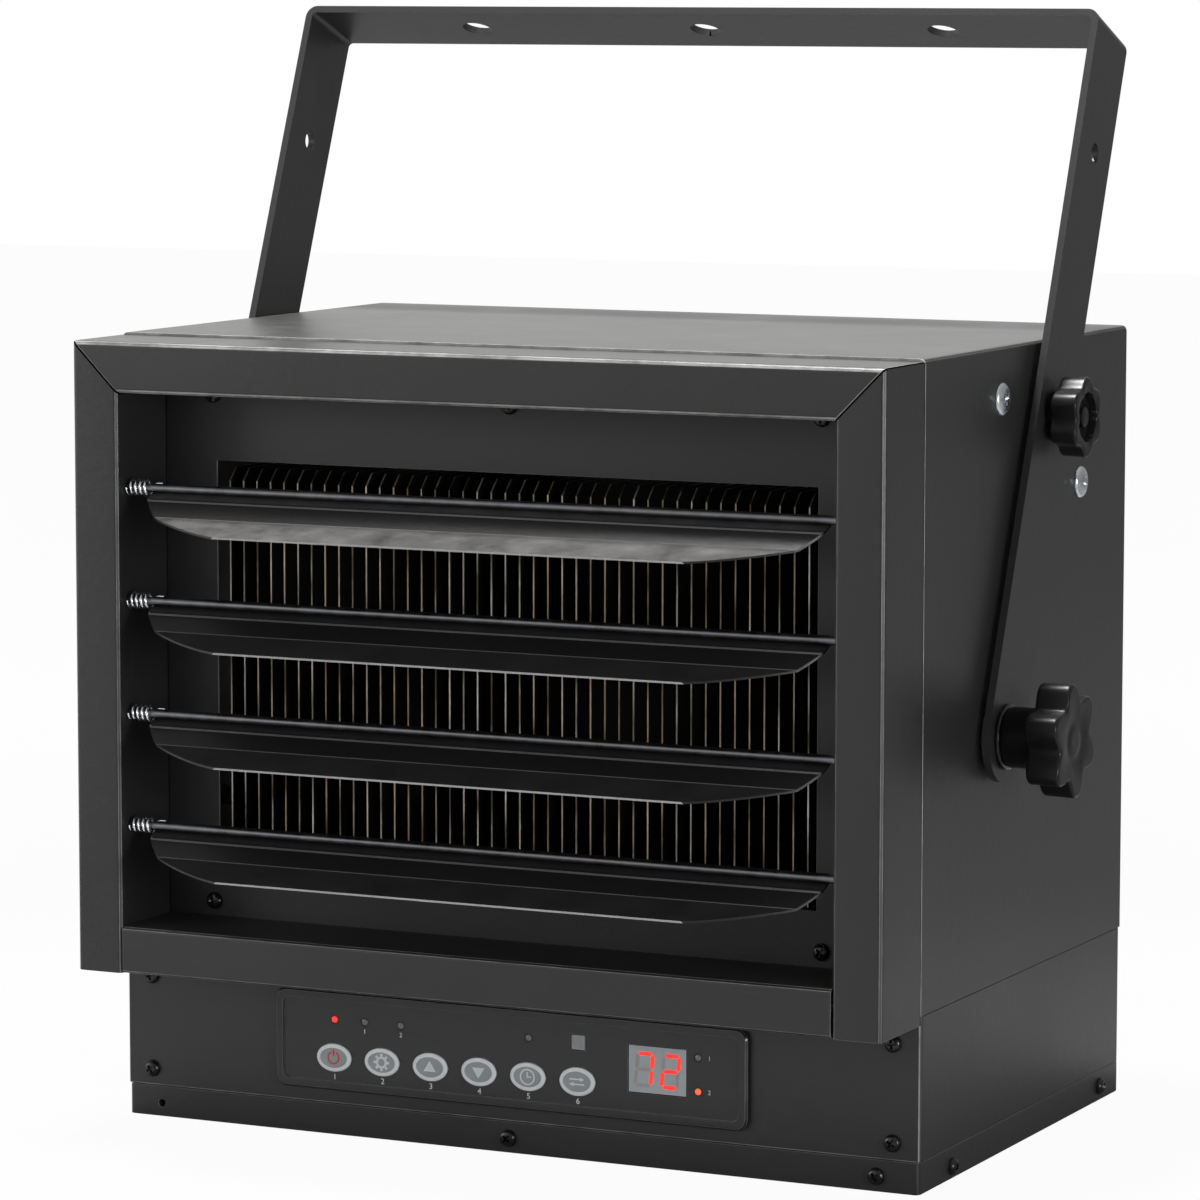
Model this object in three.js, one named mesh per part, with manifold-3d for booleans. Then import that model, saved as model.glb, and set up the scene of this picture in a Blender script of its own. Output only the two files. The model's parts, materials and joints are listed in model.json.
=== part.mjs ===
// Ceiling mounted fan heater: a sheet-steel cabinet with a finned element, an axial fan,
// four adjustable louvres, a control box underneath and a tilting mounting bracket.
// Millimetres, +X to the right of the outlet, -Y out of the outlet, +Z up.
// The origin is the centre of the base tray's underside.

import * as THREE from 'three';
import { mergeVertices } from 'three/addons/utils/BufferGeometryUtils.js';
import Module from 'manifold-3d';

const wasm = await Module();
wasm.setup();

// ---------------------------------------------------------------- driving sizes

// Clearances
const gap = 0.3; // between neighbouring pieces
const mitreSeam = 0.45; // open seam of the frame's mitred corners
const boreGap = 0.5; // round a threaded stud

// Cabinet
const cabinetWidth = 350;
const cabinetDepth = 220;
const cabinetHeight = 321.4;
const sheet = 1.2;
const bendRadius = 1.0; // inside radius of a folded edge
const splitHeight = 69.3; // top of the control box, foot of the upper cabinet
const trayLip = 12.5;
const rearFlange = 14;
const boxFlange = 14; // inward flanges of the control box
const spareHoleRadius = 1.75; // small hole in the tray's front flange
const spareHoleInset = 15.2;
const spareHoleHeight = 5.4;

// Front frame
const frameDepth = 39.2;
const frameFlange = 20.5;
const frameSillFlange = 19.2;
const frameOverhang = 0.3; // beyond the cabinet's sides
const frameTopDrop = 1.0; // below the cabinet's top
const frameSillDrop = 3.0; // below the foot of the upper cabinet

// Outlet plate
const outletWidth = 263;
const outletTop = 271;
const outletBottom = 107.5;
const outletReturn = 12;
const outletCorner = 3;

// Louvres
const louvreCount = 4;
const louvreTopDrop = 37.9; // frame opening's top edge to the first rod
const louvreSillRise = 40.5; // frame opening's sill to the last rod
const louvreSetback = 31; // rods ahead of the outlet plate
const louvreRodRadius = 1.6;
const louvreSheet = 0.8;
const louvreCurl = 300; // degrees of curl round the rod
const louvreBands = [
  { length: 5.5, slope: 50 }, // degrees below the horizontal
  { length: 8.6, slope: 35 },
  { length: 21.8, slope: 20 },
];
const louvreCornerRun = 46; // rounded corner, along the blade
const louvreCornerFlat = 4; // straight end beside the rod
const springRoom = 11.3; // blade's left end to the frame
const bladeEndRoom = 7.2; // blade's right end to the frame
const rodBite = 2.6; // rod beyond the frame's inner face

// Louvre springs
const springTurns = 4.5;
const springWire = 1.0;
const springRadius = 3.0; // middle of the wire
const springTail = 4.5;

// Finned element
const finCount = 42;
const finSheet = 0.7;
const finDepth = 45;
const finTop = 268;
const finBottom = 108;
const finChamfer = 5;
const finSideRoom = 4.5; // outermost fin to the outlet's edge
const finSetback = 2.3; // behind the outlet plate's front
const tubeCount = 2;
const tubeRadius = 4;
const tubeEndRoom = 23; // lowest and highest tube inside the fins
const endPlateOffset = 12; // beyond the outlet's edge
const endPlateFlange = 12;
const endPlateRise = 22; // above and below the fins
const terminalRadius = 1.8;
const terminalLength = 10;

// Fan and motor
const fanRadius = 98;
const fanBladeCount = 5;
const fanHubRadius = 17;
const fanHubLength = 22;
const fanTipRoom = 5; // blade tip to the inlet ring
const fanBladeSheet = 1.4;
const fanRootPitch = 42; // degrees
const fanTipPitch = 24;
const fanRootChord = 31;
const fanHubDome = 4;
const fanRootSink = 3; // blade root inside the hub
const fanTipChord = 74;
const inletLip = 13; // depth of the inlet ring
const inletFlare = 4; // round mouth of the inlet ring
const fanInletOverlap = 5; // hub end ahead of the rear panel
const shaftRadius = 4;
const shaftBite = 12;
const shaftEnd = 2; // beyond the fan's hub
const motorRadius = 44;
const motorLength = 50;
const motorBossRadius = 14;
const motorBossLength = 6;
const motorBossTaper = 2;
const motorShoulder = 6;
const motorBracketWidth = 56;
const motorBracketFlange = 22;
const motorBracketSheet = 2;

// Rear guard
const guardWire = 1.25; // radius
const guardRings = 7;
const guardFirstRing = 20;
const guardRibs = 6;
const guardCapRadius = 15;
const guardCapSheet = 1.5;

// Fascia and keys
const fasciaWidth = 209;
const fasciaHeight = 40.5;
const fasciaCentreX = -0.5;
const fasciaRise = 26.3; // fascia's centre above the tray's lip
const fasciaCorner = 5;
const fasciaFloor = 1.6;
const fasciaRim = 1.0; // rim above the fascia's floor
const fasciaRimWidth = 3.6;
const fasciaEdge = 0.8; // bevel of its outer edge
const windowCorner = 2; // of the panel's window behind it
const fasciaSeat = 4; // fascia beyond the panel's window
const keyCount = 6;
const keyWidth = 15.5;
const keyHeight = 11.5;
const keyPitch = 21.76;
const keyFirst = -77.6; // first key from the fascia's centre
const keyDrop = 6.8; // keys below the fascia's centre
const keyProud = 1.2;
const keyTravel = 0.8;
const keyFlange = 1;
const keyStemRadius = 2;
const keyCrown = 0.6;
const displayWidth = 24.9;
const displayHeight = 18.6;
const displayOffset = 65.6; // from the fascia's centre
const displayRise = 0.5;
const receiverSize = 6;
const lampRadius = 1.5;
const lampRise = 8.7; // lamps above the fascia's centre
const lowLampOffset = 13.7; // heat lamps from the first key
const highLampOffset = 30;
const unitLampOffset = 83.2;
const unitLampRise = 7.2;
const unitLampDrop = 6.3;
const lensSink = 0.2; // display and receiver below the fascia's floor

// Boards and power parts inside the control box
const board = 1.6;
const boardSetback = 12; // control board behind the panel's front
const boardHeight = 44;
const boardSideRoom = 6; // inside the fascia's width
const switchSize = 6;
const switchHeight = 5;
const standoffRadius = 2.2;
const standoffInset = 2.6;
const powerBoardWidth = 150;
const powerBoardDepth = 96;
const powerBoardRise = 9;
const powerBoardSetback = 50; // behind the panel's front
const powerBoardOffset = -15;
const relayWidth = 22;
const relayDepth = 28;
const relayHeight = 17;
const relayPitch = 38;
const relayEdgeRoom = 12;
const transformerWidth = 34;
const transformerDepth = 40;
const transformerHeight = 30;
const transformerBobbin = 5;
const contactorWidth = 44;
const contactorDepth = 58;
const contactorHeight = 42;
const contactorStep = 11;
const contactorSlot = 2;
const sideRoom = 22; // power parts from the box's side
const terminalWidth = 46;
const terminalDepth = 24;
const terminalHeight = 18;
const terminalWays = 3;
const terminalWall = 3;
const terminalWell = 7;
const terminalRearRoom = 32;
const glandOffset = 128;
const glandHeight = 40;
const glandBore = 7;
const glandNeck = 10.5;
const glandFlange = 15;
const glandOuterLength = 13;
const glandNut = 5;
const glandNutRadius = 14;
const glandFlangeSheet = 3;
const wireHoleRadius = 9;
const wireHoleInset = 26;
const thermostatRadius = 8;
const thermostatLength = 10;
const thermostatBase = 4; // thick part against the outlet plate
const thermostatStep = 1;
const thermostatCapInset = 2;
const thermostatOffset = 70;
const thermostatRise = 16; // above the outlet's top edge

// Mounting bracket
const pivotSetback = 72; // behind the cabinet's front
const pivotHeight = 169;
const bracketLean = 22.2; // degrees back from upright
const bracketReach = 298; // pivot to the bar's outer face
const bracketWidth = 36;
const bracketSheet = 3;
const bracketStandoff = 3; // arm's inner face from the cabinet's side
const bracketBend = 2;
const lockRadius = 132; // pivot to the lock holes
const lockAngles = [3, bracketLean, 45.8]; // degrees back from upright
const armHoleReach = 243;
const armHoleRadius = 4;
const barHolePitch = 107;
const barHoleRadius = 6.5;
const studRadius = 3.8;
const weldNutRadius = 7.5;
const weldNutLength = 6;

// Knobs
const spacerRadius = 13;
const washerRadius = 13;
const washerSheet = 1.6;
const pivotKnob = {
  radius: 23, lobes: 6, firstLobe: 22, lobePoints: 8, scallop: 6.5, valleyPower: 1.15,
  length: 14, bevel: 1.6,
  collarRadius: 12, collarLength: 13, studLength: 23, dishRadius: 13, dishWidth: 4, dishDepth: 1.2,
};
const lockKnob = {
  radius: 16, lobes: 6, firstLobe: 30, lobePoints: 6, scallop: 2.6, valleyPower: 1.15,
  length: 11, bevel: 1.4,
  collarRadius: 10, collarLength: 3, studLength: 3.3, dishRadius: 10, dishWidth: 6, dishDepth: 2.2,
};

// ---------------------------------------------------------------- worked-out places

const half = cabinetWidth / 2;
const frontY = -cabinetDepth / 2;
const backY = cabinetDepth / 2;
const insideHalf = half - sheet;
const fitHalf = insideHalf - gap; // a piece that fits inside the cabinet's sides
const insideTop = cabinetHeight - sheet;
const floorBottom = splitHeight + gap;
const floorTop = floorBottom + sheet;
const behindPlate = frontY + sheet + gap;
const rearPanelBack = backY - sheet - gap;
const rearPanelFront = rearPanelBack - sheet;

const frameHalf = half + frameOverhang;
const frameInner = frameHalf - frameFlange;
const frameTop = cabinetHeight - frameTopDrop;
const frameInnerTop = frameTop - frameFlange;
const frameBottom = splitHeight - frameSillDrop;
const frameInnerBottom = frameBottom + frameSillFlange;
const frameFront = frontY - frameDepth;
const frameBack = frontY - gap;

const louvreY = frontY - louvreSetback;
const louvreSpan = frameInnerTop - louvreTopDrop - (frameInnerBottom + louvreSillRise);
const louvreHeights = Array.from(
  { length: louvreCount },
  (_, i) => frameInnerTop - louvreTopDrop - (i * louvreSpan) / (louvreCount - 1),
);
const curlRadius = louvreRodRadius + gap;
const bladeLeft = -frameInner + springRoom;
const bladeRight = frameInner - bladeEndRoom;

const fanZ = (floorTop + insideTop) / 2;
const inletRadius = fanRadius + fanTipRoom;
const hubBack = rearPanelFront - fanInletOverlap;
const hubFront = hubBack - fanHubLength;
const motorBack = hubFront - motorBossLength - 2 * gap;
const motorFront = motorBack - motorLength;
const motorNoseRadius = motorBossRadius - motorBossTaper;

const boxBottom = trayLip + gap;
const fasciaZ = trayLip + fasciaRise;
const fasciaBack = frontY - gap;
const fasciaFace = fasciaBack - fasciaFloor;
const keyZ = fasciaZ - keyDrop;
const lampZ = fasciaZ + lampRise;
const keyPlaces = Array.from(
  { length: keyCount },
  (_, i) => fasciaCentreX + keyFirst + i * keyPitch,
);
const boardFront = frontY + boardSetback;
const trayFloor = sheet + gap;

const pivotY = frontY + pivotSetback;
const armInner = half + bracketStandoff;
const armOuter = armInner + bracketSheet;

const radians = THREE.MathUtils.degToRad;

// ---------------------------------------------------------------- shape tools

const mergeDistance = 1e-4;
const arcStep = radians(30); // of a folded edge
const joinOverlap = 0.2; // how far two shapes of one piece run into each other

/** Closed mesh to solid, with shared vertices, without slivers, faces outwards. */
function solidFrom(geometry) {
  const bare = geometry.clone();
  bare.deleteAttribute('normal');
  bare.deleteAttribute('uv');
  const merged = mergeVertices(bare, mergeDistance);
  const points = merged.attributes.position.array;
  const triangles = [];
  let volume = 0;
  for (let i = 0; i < merged.index.count; i += 3) {
    const [a, b, c] = [0, 1, 2].map((k) => merged.index.getX(i + k));
    if (a !== b && b !== c && c !== a) {
      const [p, q, r] = [a, b, c].map((v) => new THREE.Vector3().fromArray(points, 3 * v));
      volume += p.dot(q.cross(r));
      triangles.push([a, b, c]);
    }
  }
  const outward = volume > 0 ? triangles : triangles.map(([a, b, c]) => [a, c, b]);
  return new wasm.Manifold(new wasm.Mesh({
    numProp: 3,
    vertProperties: new Float32Array(points),
    triVerts: new Uint32Array(outward.flat()),
  }));
}

/** Solid back to a three.js geometry. */
function geometryFrom(solid) {
  const mesh = solid.getMesh();
  const geometry = new THREE.BufferGeometry();
  geometry.setAttribute('position', new THREE.BufferAttribute(mesh.vertProperties, 3));
  geometry.setIndex(new THREE.BufferAttribute(mesh.triVerts, 1));
  geometry.computeVertexNormals();
  return geometry;
}

const join = (...solids) => solids.reduce((sum, solid) => sum.add(solid));
const cut = (solid, ...tools) => tools.reduce((rest, tool) => rest.subtract(tool), solid);

const vectorX = new THREE.Vector3(1, 0, 0);
const vectorY = new THREE.Vector3(0, 1, 0);
const vectorZ = new THREE.Vector3(0, 0, 1);

// A section is drawn in (y, z) for x, in (x, z) for y and in (x, y) for z.
const prismFrames = {
  x: new THREE.Matrix4().makeBasis(vectorY, vectorZ, vectorX),
  y: new THREE.Matrix4().makeBasis(vectorX, vectorZ, vectorY.clone().negate()),
  z: new THREE.Matrix4(),
};

/** Section drawn square to an axis, extruded along it from one place to the other. */
function prism(axis, section, from, to, bevel = 0, curveSegments = 6) {
  const geometry = new THREE.ExtrudeGeometry(section, {
    depth: to - from - 2 * bevel,
    bevelEnabled: bevel > 0,
    bevelThickness: bevel,
    bevelSize: bevel,
    bevelOffset: -bevel,
    bevelSegments: 1,
    curveSegments,
  });
  geometry.applyMatrix4(prismFrames[axis]);
  const shift = axis === 'y' ? to - bevel : from + bevel;
  geometry.translate(...['x', 'y', 'z'].map((name) => (name === axis ? shift : 0)));
  return solidFrom(geometry);
}

const latheFrames = {
  x: new THREE.Matrix4().makeBasis(vectorY, vectorX, vectorZ.clone().negate()),
  y: new THREE.Matrix4(),
  z: new THREE.Matrix4().makeBasis(vectorX, vectorZ, vectorY.clone().negate()),
};

/** Profile of [radius, place along the axis] points turned round an axis through a centre. */
function lathe(axis, profile, centre, segments = 24) {
  const points = profile.map(([radius, along]) => new THREE.Vector2(radius, along));
  const geometry = new THREE.LatheGeometry(points, segments);
  geometry.applyMatrix4(latheFrames[axis]);
  geometry.translate(...centre);
  return solidFrom(geometry);
}

/** Round bar between two places on an axis. */
function bar(axis, radius, from, to, centre, segments = 16) {
  return lathe(axis, [[0, from], [radius, from], [radius, to], [0, to]], centre, segments);
}

/** Round ring between two places on an axis. */
function ring(axis, inner, outer, from, to, centre, segments = 16) {
  const profile = [[inner, from], [outer, from], [outer, to], [inner, to], [inner, from]];
  return lathe(axis, profile, centre, segments);
}

/** Plain block between two corners. */
function block(x0, x1, y0, y1, z0, z1) {
  const geometry = new THREE.BoxGeometry(x1 - x0, y1 - y0, z1 - z0);
  geometry.translate((x0 + x1) / 2, (y0 + y1) / 2, (z0 + z1) / 2);
  return solidFrom(geometry);
}

const outline = (points) => new THREE.Shape(points.map(([x, y]) => new THREE.Vector2(x, y)));

/** Rectangle with round corners about a centre. */
function roundedRectangle(width, height, radius, x = 0, y = 0) {
  const shape = new THREE.Shape();
  const [right, top] = [width / 2, height / 2];
  const corners = [[right, -top, -90], [right, top, 0], [-right, top, 90], [-right, -top, 180]];
  for (const [cx, cy, start] of corners) {
    const arcX = x + cx - Math.sign(cx) * radius;
    const arcY = y + cy - Math.sign(cy) * radius;
    shape.absarc(arcX, arcY, radius, radians(start), radians(start + 90), false);
  }
  shape.closePath();
  return shape;
}

function ellipse(width, height, x, y) {
  const shape = new THREE.Shape();
  shape.absellipse(x, y, width / 2, height / 2, 0, 2 * Math.PI, false, 0);
  return shape;
}

/**
 * Section of a folded sheet. The points are the corners of one of its faces, the sheet lies
 * on the left of their run (side 1) or on the right (side -1), and each corner is bent round.
 */
function foldedSheet(corners, thickness, side, inside = bendRadius) {
  const points = corners.map(([x, y]) => new THREE.Vector2(x, y));
  const leftOf = (from, to) => {
    const run = to.clone().sub(from).normalize();
    return new THREE.Vector2(-run.y, run.x);
  };
  const face = [];
  const back = [];
  points.forEach((point, i) => {
    const before = i > 0 ? leftOf(points[i - 1], point) : null;
    const after = i < points.length - 1 ? leftOf(point, points[i + 1]) : null;
    if (!before || !after) {
      face.push(point);
      back.push(point.clone().addScaledVector(before ?? after, side * thickness));
      return;
    }
    const turn = Math.atan2(before.cross(after), before.dot(after));
    const hand = Math.sign(turn);
    const wraps = hand === side; // the bend's centre lies on the sheet's side
    const faceRadius = wraps ? inside + thickness : inside;
    const backRadius = wraps ? inside : inside + thickness;
    const middle = before.clone().add(after).normalize().multiplyScalar(hand);
    const centre = point.clone().addScaledVector(middle, faceRadius / Math.cos(turn / 2));
    const steps = Math.max(1, Math.round(Math.abs(turn) / arcStep));
    for (let k = 0; k <= steps; k += 1) {
      const spoke = before.clone().rotateAround(new THREE.Vector2(), (turn * k) / steps);
      face.push(centre.clone().addScaledVector(spoke, -hand * faceRadius));
      back.push(centre.clone().addScaledVector(spoke, -hand * backRadius));
    }
  });
  const loop = [...face, ...back.reverse()];
  const distinct = loop.filter((p, i) => p.distanceTo(loop[(i + 1) % loop.length]) > mergeDistance);
  return new THREE.Shape(distinct);
}

// ---------------------------------------------------------------- materials

function finish(color, roughness, metalness) {
  return { color, roughness, metalness };
}

const finishes = {
  coat: finish(0x3c3e3c, 0.5, 0.35),
  innerCoat: finish(0x232423, 0.6, 0.3),
  zinc: finish(0xc4c8ca, 0.3, 0.9),
  fin: finish(0x6b625a, 0.45, 0.8),
  knob: finish(0x18191a, 0.25, 0.0),
  fascia: finish(0x2b2c2e, 0.4, 0.0),
  keys: finish(0x8d9499, 0.45, 0.0),
  display: finish(0x9aa3a8, 0.2, 0.0),
  lens: finish(0x77797c, 0.3, 0.0),
  circuit: finish(0x1f5a38, 0.5, 0.0),
  relay: finish(0x20222a, 0.4, 0.0),
  copper: finish(0x8a5a34, 0.4, 0.8),
  phenolic: finish(0x2a2420, 0.5, 0.0),
  motor: finish(0x4a4c4e, 0.45, 0.6),
  aluminium: finish(0xa7abad, 0.35, 0.8),
  guard: finish(0x1c1d1d, 0.4, 0.4),
};

const heater = new THREE.Group();

/** Adds one named piece to a group of the scene. */
function addPiece(name, shape, finishName, group = heater) {
  const geometry = shape.isBufferGeometry ? shape : geometryFrom(shape);
  const mesh = new THREE.Mesh(geometry, new THREE.MeshStandardMaterial(finishes[finishName]));
  mesh.name = name;
  group.add(mesh);
  return mesh;
}

// ---------------------------------------------------------------- cabinet

/** Places of the three lock holes on the cabinet's sides. */
const lockPlaces = lockAngles.map((angle) => [
  pivotY + lockRadius * Math.sin(radians(angle)),
  pivotHeight + lockRadius * Math.cos(radians(angle)),
]);

function cabinetWrap() {
  const foot = splitHeight + gap;
  const section = foldedSheet(
    [[-half, foot], [-half, cabinetHeight], [half, cabinetHeight], [half, foot]], sheet, -1,
  );
  const flangeOuter = half - sheet / 2;
  const flangeInner = half - rearFlange;
  const flangeTop = cabinetHeight - sheet / 2;
  const flangeLintel = cabinetHeight - rearFlange;
  const flange = outline([
    [-flangeOuter, foot], [-flangeInner, foot], [-flangeInner, flangeLintel],
    [flangeInner, flangeLintel], [flangeInner, foot], [flangeOuter, foot],
    [flangeOuter, flangeTop], [-flangeOuter, flangeTop],
  ]);
  let wrap = join(prism('y', section, frontY, backY), prism('y', flange, backY - sheet, backY));
  const studPlaces = [[pivotY, pivotHeight], ...lockPlaces];
  for (const [y, z] of studPlaces) {
    for (const side of [-1, 1]) {
      const ends = [side * (insideHalf + joinOverlap), side * (insideHalf - weldNutLength)];
      const nut = bar('x', weldNutRadius, Math.min(...ends), Math.max(...ends), [0, y, z], 6);
      wrap = wrap.add(nut);
    }
    wrap = cut(wrap, bar('x', studRadius + boreGap, -half - 1, half + 1, [0, y, z], 12));
  }
  return wrap;
}

/** What fits between the cabinet's sides, on the divider floor and under the folded top. */
function ductOutline() {
  const shape = new THREE.Shape();
  const [left, right] = [-fitHalf, fitHalf];
  const [low, high] = [floorTop + gap, insideTop - gap];
  shape.moveTo(left, low);
  shape.lineTo(right, low);
  shape.absarc(right - bendRadius, high - bendRadius, bendRadius, 0, Math.PI / 2, false);
  shape.absarc(left + bendRadius, high - bendRadius, bendRadius, Math.PI / 2, Math.PI, false);
  shape.closePath();
  return shape;
}

function outletPlate() {
  const section = foldedSheet(
    [[-fitHalf, frontY + outletReturn], [-fitHalf, frontY], [fitHalf, frontY],
      [fitHalf, frontY + outletReturn]], sheet, 1,
  );
  const folded = prism('z', section, floorTop + gap, insideTop - gap);
  const plate = folded.intersect(prism('y', ductOutline(), frontY - 1, frontY + outletReturn + 1));
  const height = outletTop - outletBottom;
  const opening = roundedRectangle(
    outletWidth, height, outletCorner, 0, (outletTop + outletBottom) / 2,
  );
  return cut(plate, prism('y', opening, frontY - 1, frontY + sheet + 1, 0, 3));
}

function dividerFloor() {
  const section = foldedSheet(
    [[-fitHalf, floorBottom + outletReturn], [-fitHalf, floorBottom], [fitHalf, floorBottom],
      [fitHalf, floorBottom + outletReturn]], sheet, 1,
  );
  const floor = prism('y', section, frontY, rearPanelFront - gap);
  const notchTop = floorBottom + outletReturn + 1;
  const notch = block(-half, half, frontY - 1, frontY + outletReturn + gap, floorTop, notchTop);
  const wireHoles = [-1, 1].map((side) => {
    const x = side * (fitHalf - wireHoleInset);
    return bar('z', wireHoleRadius, floorBottom - 1, floorTop + 1, [x, 0, 0], 14);
  });
  return cut(floor, notch, ...wireHoles);
}

function rearPanel() {
  const panel = prism('y', ductOutline(), rearPanelFront, rearPanelBack, 0, 3);
  const opening = bar(
    'y', inletRadius, rearPanelFront - 1, rearPanelBack + 1, [0, 0, fanZ], 32,
  );
  // The inlet ring curls in from the panel to a straight collar round the blade tips.
  const lip = lathe('y', [
    [inletRadius + inletFlare, rearPanelFront + joinOverlap],
    [inletRadius - joinOverlap, rearPanelBack],
    [inletRadius - sheet, rearPanelBack - inletFlare],
    [inletRadius - sheet, rearPanelFront - inletLip],
    [inletRadius, rearPanelFront - inletLip],
    [inletRadius, rearPanelFront - inletFlare],
    [inletRadius + inletFlare, rearPanelFront + joinOverlap],
  ], [0, 0, fanZ], 32);
  return join(cut(panel, opening), lip);
}

/** Round wire guard over the inlet: rings on ribs with a cap in the middle. */
function rearGuard() {
  const plane = rearPanelBack + gap + guardWire;
  const lastRing = inletRadius + 2 * guardWire;
  const pitch = (lastRing - guardFirstRing) / (guardRings - 1);
  const rings = Array.from({ length: guardRings }, (_, i) => {
    const geometry = new THREE.TorusGeometry(guardFirstRing + i * pitch, guardWire, 4, 24);
    geometry.rotateX(Math.PI / 2);
    geometry.translate(0, plane, fanZ);
    return solidFrom(geometry);
  });
  const ribs = Array.from({ length: guardRibs }, (_, i) => {
    const rib = new THREE.CylinderGeometry(guardWire, guardWire, lastRing + guardWire, 4);
    rib.rotateZ(-Math.PI / 2);
    rib.translate((lastRing + guardWire) / 2, plane + guardWire, 0);
    rib.rotateY((i * 2 * Math.PI) / guardRibs + Math.PI / guardRibs);
    rib.translate(0, 0, fanZ);
    return solidFrom(rib);
  });
  const cap = bar(
    'y', guardCapRadius, plane, plane + 2 * guardWire + guardCapSheet, [0, 0, fanZ], 20,
  );
  return join(...rings, ...ribs, cap);
}

// ---------------------------------------------------------------- front frame

/** Open C section of a frame rail: outer wall, face and the return wall of the opening. */
function railSection(outer, inner, swap) {
  const corners = [[outer, frameBack], [outer, frameFront], [inner, frameFront], [inner, frameBack]];
  const drawn = swap ? corners.map(([z, y]) => [y, z]) : corners;
  const [a, b, c] = drawn;
  const turnsLeft = (b[0] - a[0]) * (c[1] - b[1]) - (b[1] - a[1]) * (c[0] - b[0]) > 0;
  return foldedSheet(drawn, sheet, turnsLeft ? 1 : -1);
}

const mitreShift = frameTop - frameHalf; // the corner line is z = x + this
const seamShift = (mitreSeam / 2) * Math.SQRT2;

function sideRail(side) {
  const rail = prism('z', railSection(side * frameHalf, side * frameInner, false), frameBottom, frameTop);
  const cornerLine = (x) => x + mitreShift - seamShift;
  const margin = 2;
  const keep = outline([
    [side * (frameInner - margin), frameBottom],
    [side * (frameHalf + margin), frameBottom],
    [side * (frameHalf + margin), cornerLine(frameHalf + margin)],
    [side * (frameInner - margin), cornerLine(frameInner - margin)],
  ]);
  const rods = louvreHeights.map((z) => bar(
    'x', louvreRodRadius + gap, side * frameInner - margin, side * frameInner + margin,
    [0, louvreY, z], 8,
  ));
  return cut(rail.intersect(prism('y', keep, frameFront - 1, frameBack + 1)), ...rods);
}

function topRail() {
  const rail = prism('x', railSection(frameTop, frameInnerTop, true), -frameHalf, frameHalf);
  const margin = 2;
  const widthAt = (z) => z - mitreShift - seamShift;
  const keep = outline([
    [-widthAt(frameInnerTop - margin), frameInnerTop - margin],
    [widthAt(frameInnerTop - margin), frameInnerTop - margin],
    [widthAt(frameTop + margin), frameTop + margin],
    [-widthAt(frameTop + margin), frameTop + margin],
  ]);
  return rail.intersect(prism('y', keep, frameFront - 1, frameBack + 1));
}

function bottomRail() {
  const reach = frameInner - gap;
  return prism('x', railSection(frameBottom, frameInnerBottom, true), -reach, reach);
}

// ---------------------------------------------------------------- control box

/** Corners of the box's wall in plan, with its two front flanges. */
function boxPlan(outer, front, back, flange) {
  return [
    [-outer + flange, front], [-outer, front], [-outer, back],
    [outer, back], [outer, front], [outer - flange, front],
  ];
}

function controlBoxShell() {
  const front = behindPlate;
  const inset = sheet + gap;
  const joggleTop = boxBottom + sheet + 1;
  const wallPlan = boxPlan(half, front, backY, boxFlange);
  const wall = prism('z', foldedSheet(wallPlan, sheet, -1), boxBottom, splitHeight);
  const skirtPlan = boxPlan(half - inset, front, backY - inset, boxFlange - inset);
  const skirt = prism('z', foldedSheet(skirtPlan, sheet, -1), trayFloor, joggleTop);
  const bandPlan = boxPlan(half - sheet / 2, front, backY - sheet / 2, boxFlange);
  const band = prism('z', foldedSheet(bandPlan, sheet, -1, sheet), boxBottom, joggleTop);
  const rim = outline([
    [-half + sheet / 2, front], [-half + boxFlange, front],
    [-half + boxFlange, backY - boxFlange], [half - boxFlange, backY - boxFlange],
    [half - boxFlange, front], [half - sheet / 2, front],
    [half - sheet / 2, backY - sheet / 2], [-half + sheet / 2, backY - sheet / 2],
  ]);
  const shell = join(wall, skirt, band, prism('z', rim, splitHeight - sheet, splitHeight));
  const glandPlace = [glandOffset, 0, glandHeight];
  return cut(shell, bar('y', glandNeck + gap, backY - boxFlange, backY + 1, glandPlace, 20));
}

function controlPanel() {
  const panel = block(-half, half, frontY, frontY + sheet, boxBottom, splitHeight - gap);
  const window = roundedRectangle(
    fasciaWidth - 2 * fasciaSeat, fasciaHeight - 2 * fasciaSeat, windowCorner,
    fasciaCentreX, fasciaZ,
  );
  return cut(panel, prism('y', window, frontY - 1, frontY + sheet + 1, 0, 2));
}

function baseTray() {
  const outside = roundedRectangle(cabinetWidth, cabinetDepth, bendRadius + sheet);
  const inside = roundedRectangle(
    cabinetWidth - 2 * sheet, cabinetDepth - 2 * sheet, bendRadius,
  );
  const holePlace = [-half + spareHoleInset, 0, spareHoleHeight];
  const spareHole = bar('y', spareHoleRadius, frontY - 1, frontY + sheet + 1, holePlace, 10);
  return cut(
    prism('z', outside, 0, trayLip, 0, 2),
    prism('z', inside, sheet, trayLip + 1, 0, 2),
    spareHole,
  );
}

// ---------------------------------------------------------------- fascia, keys and display

const receiverX = keyPlaces[keyCount - 1];
const lampPlaces = [
  [keyPlaces[0], lampZ],
  [keyPlaces[0] + lowLampOffset, lampZ],
  [keyPlaces[0] + highLampOffset, lampZ],
  [keyPlaces[keyCount - 2], lampZ],
  [fasciaCentreX + unitLampOffset, fasciaZ + unitLampRise],
  [fasciaCentreX + unitLampOffset, fasciaZ - unitLampDrop],
];

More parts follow.
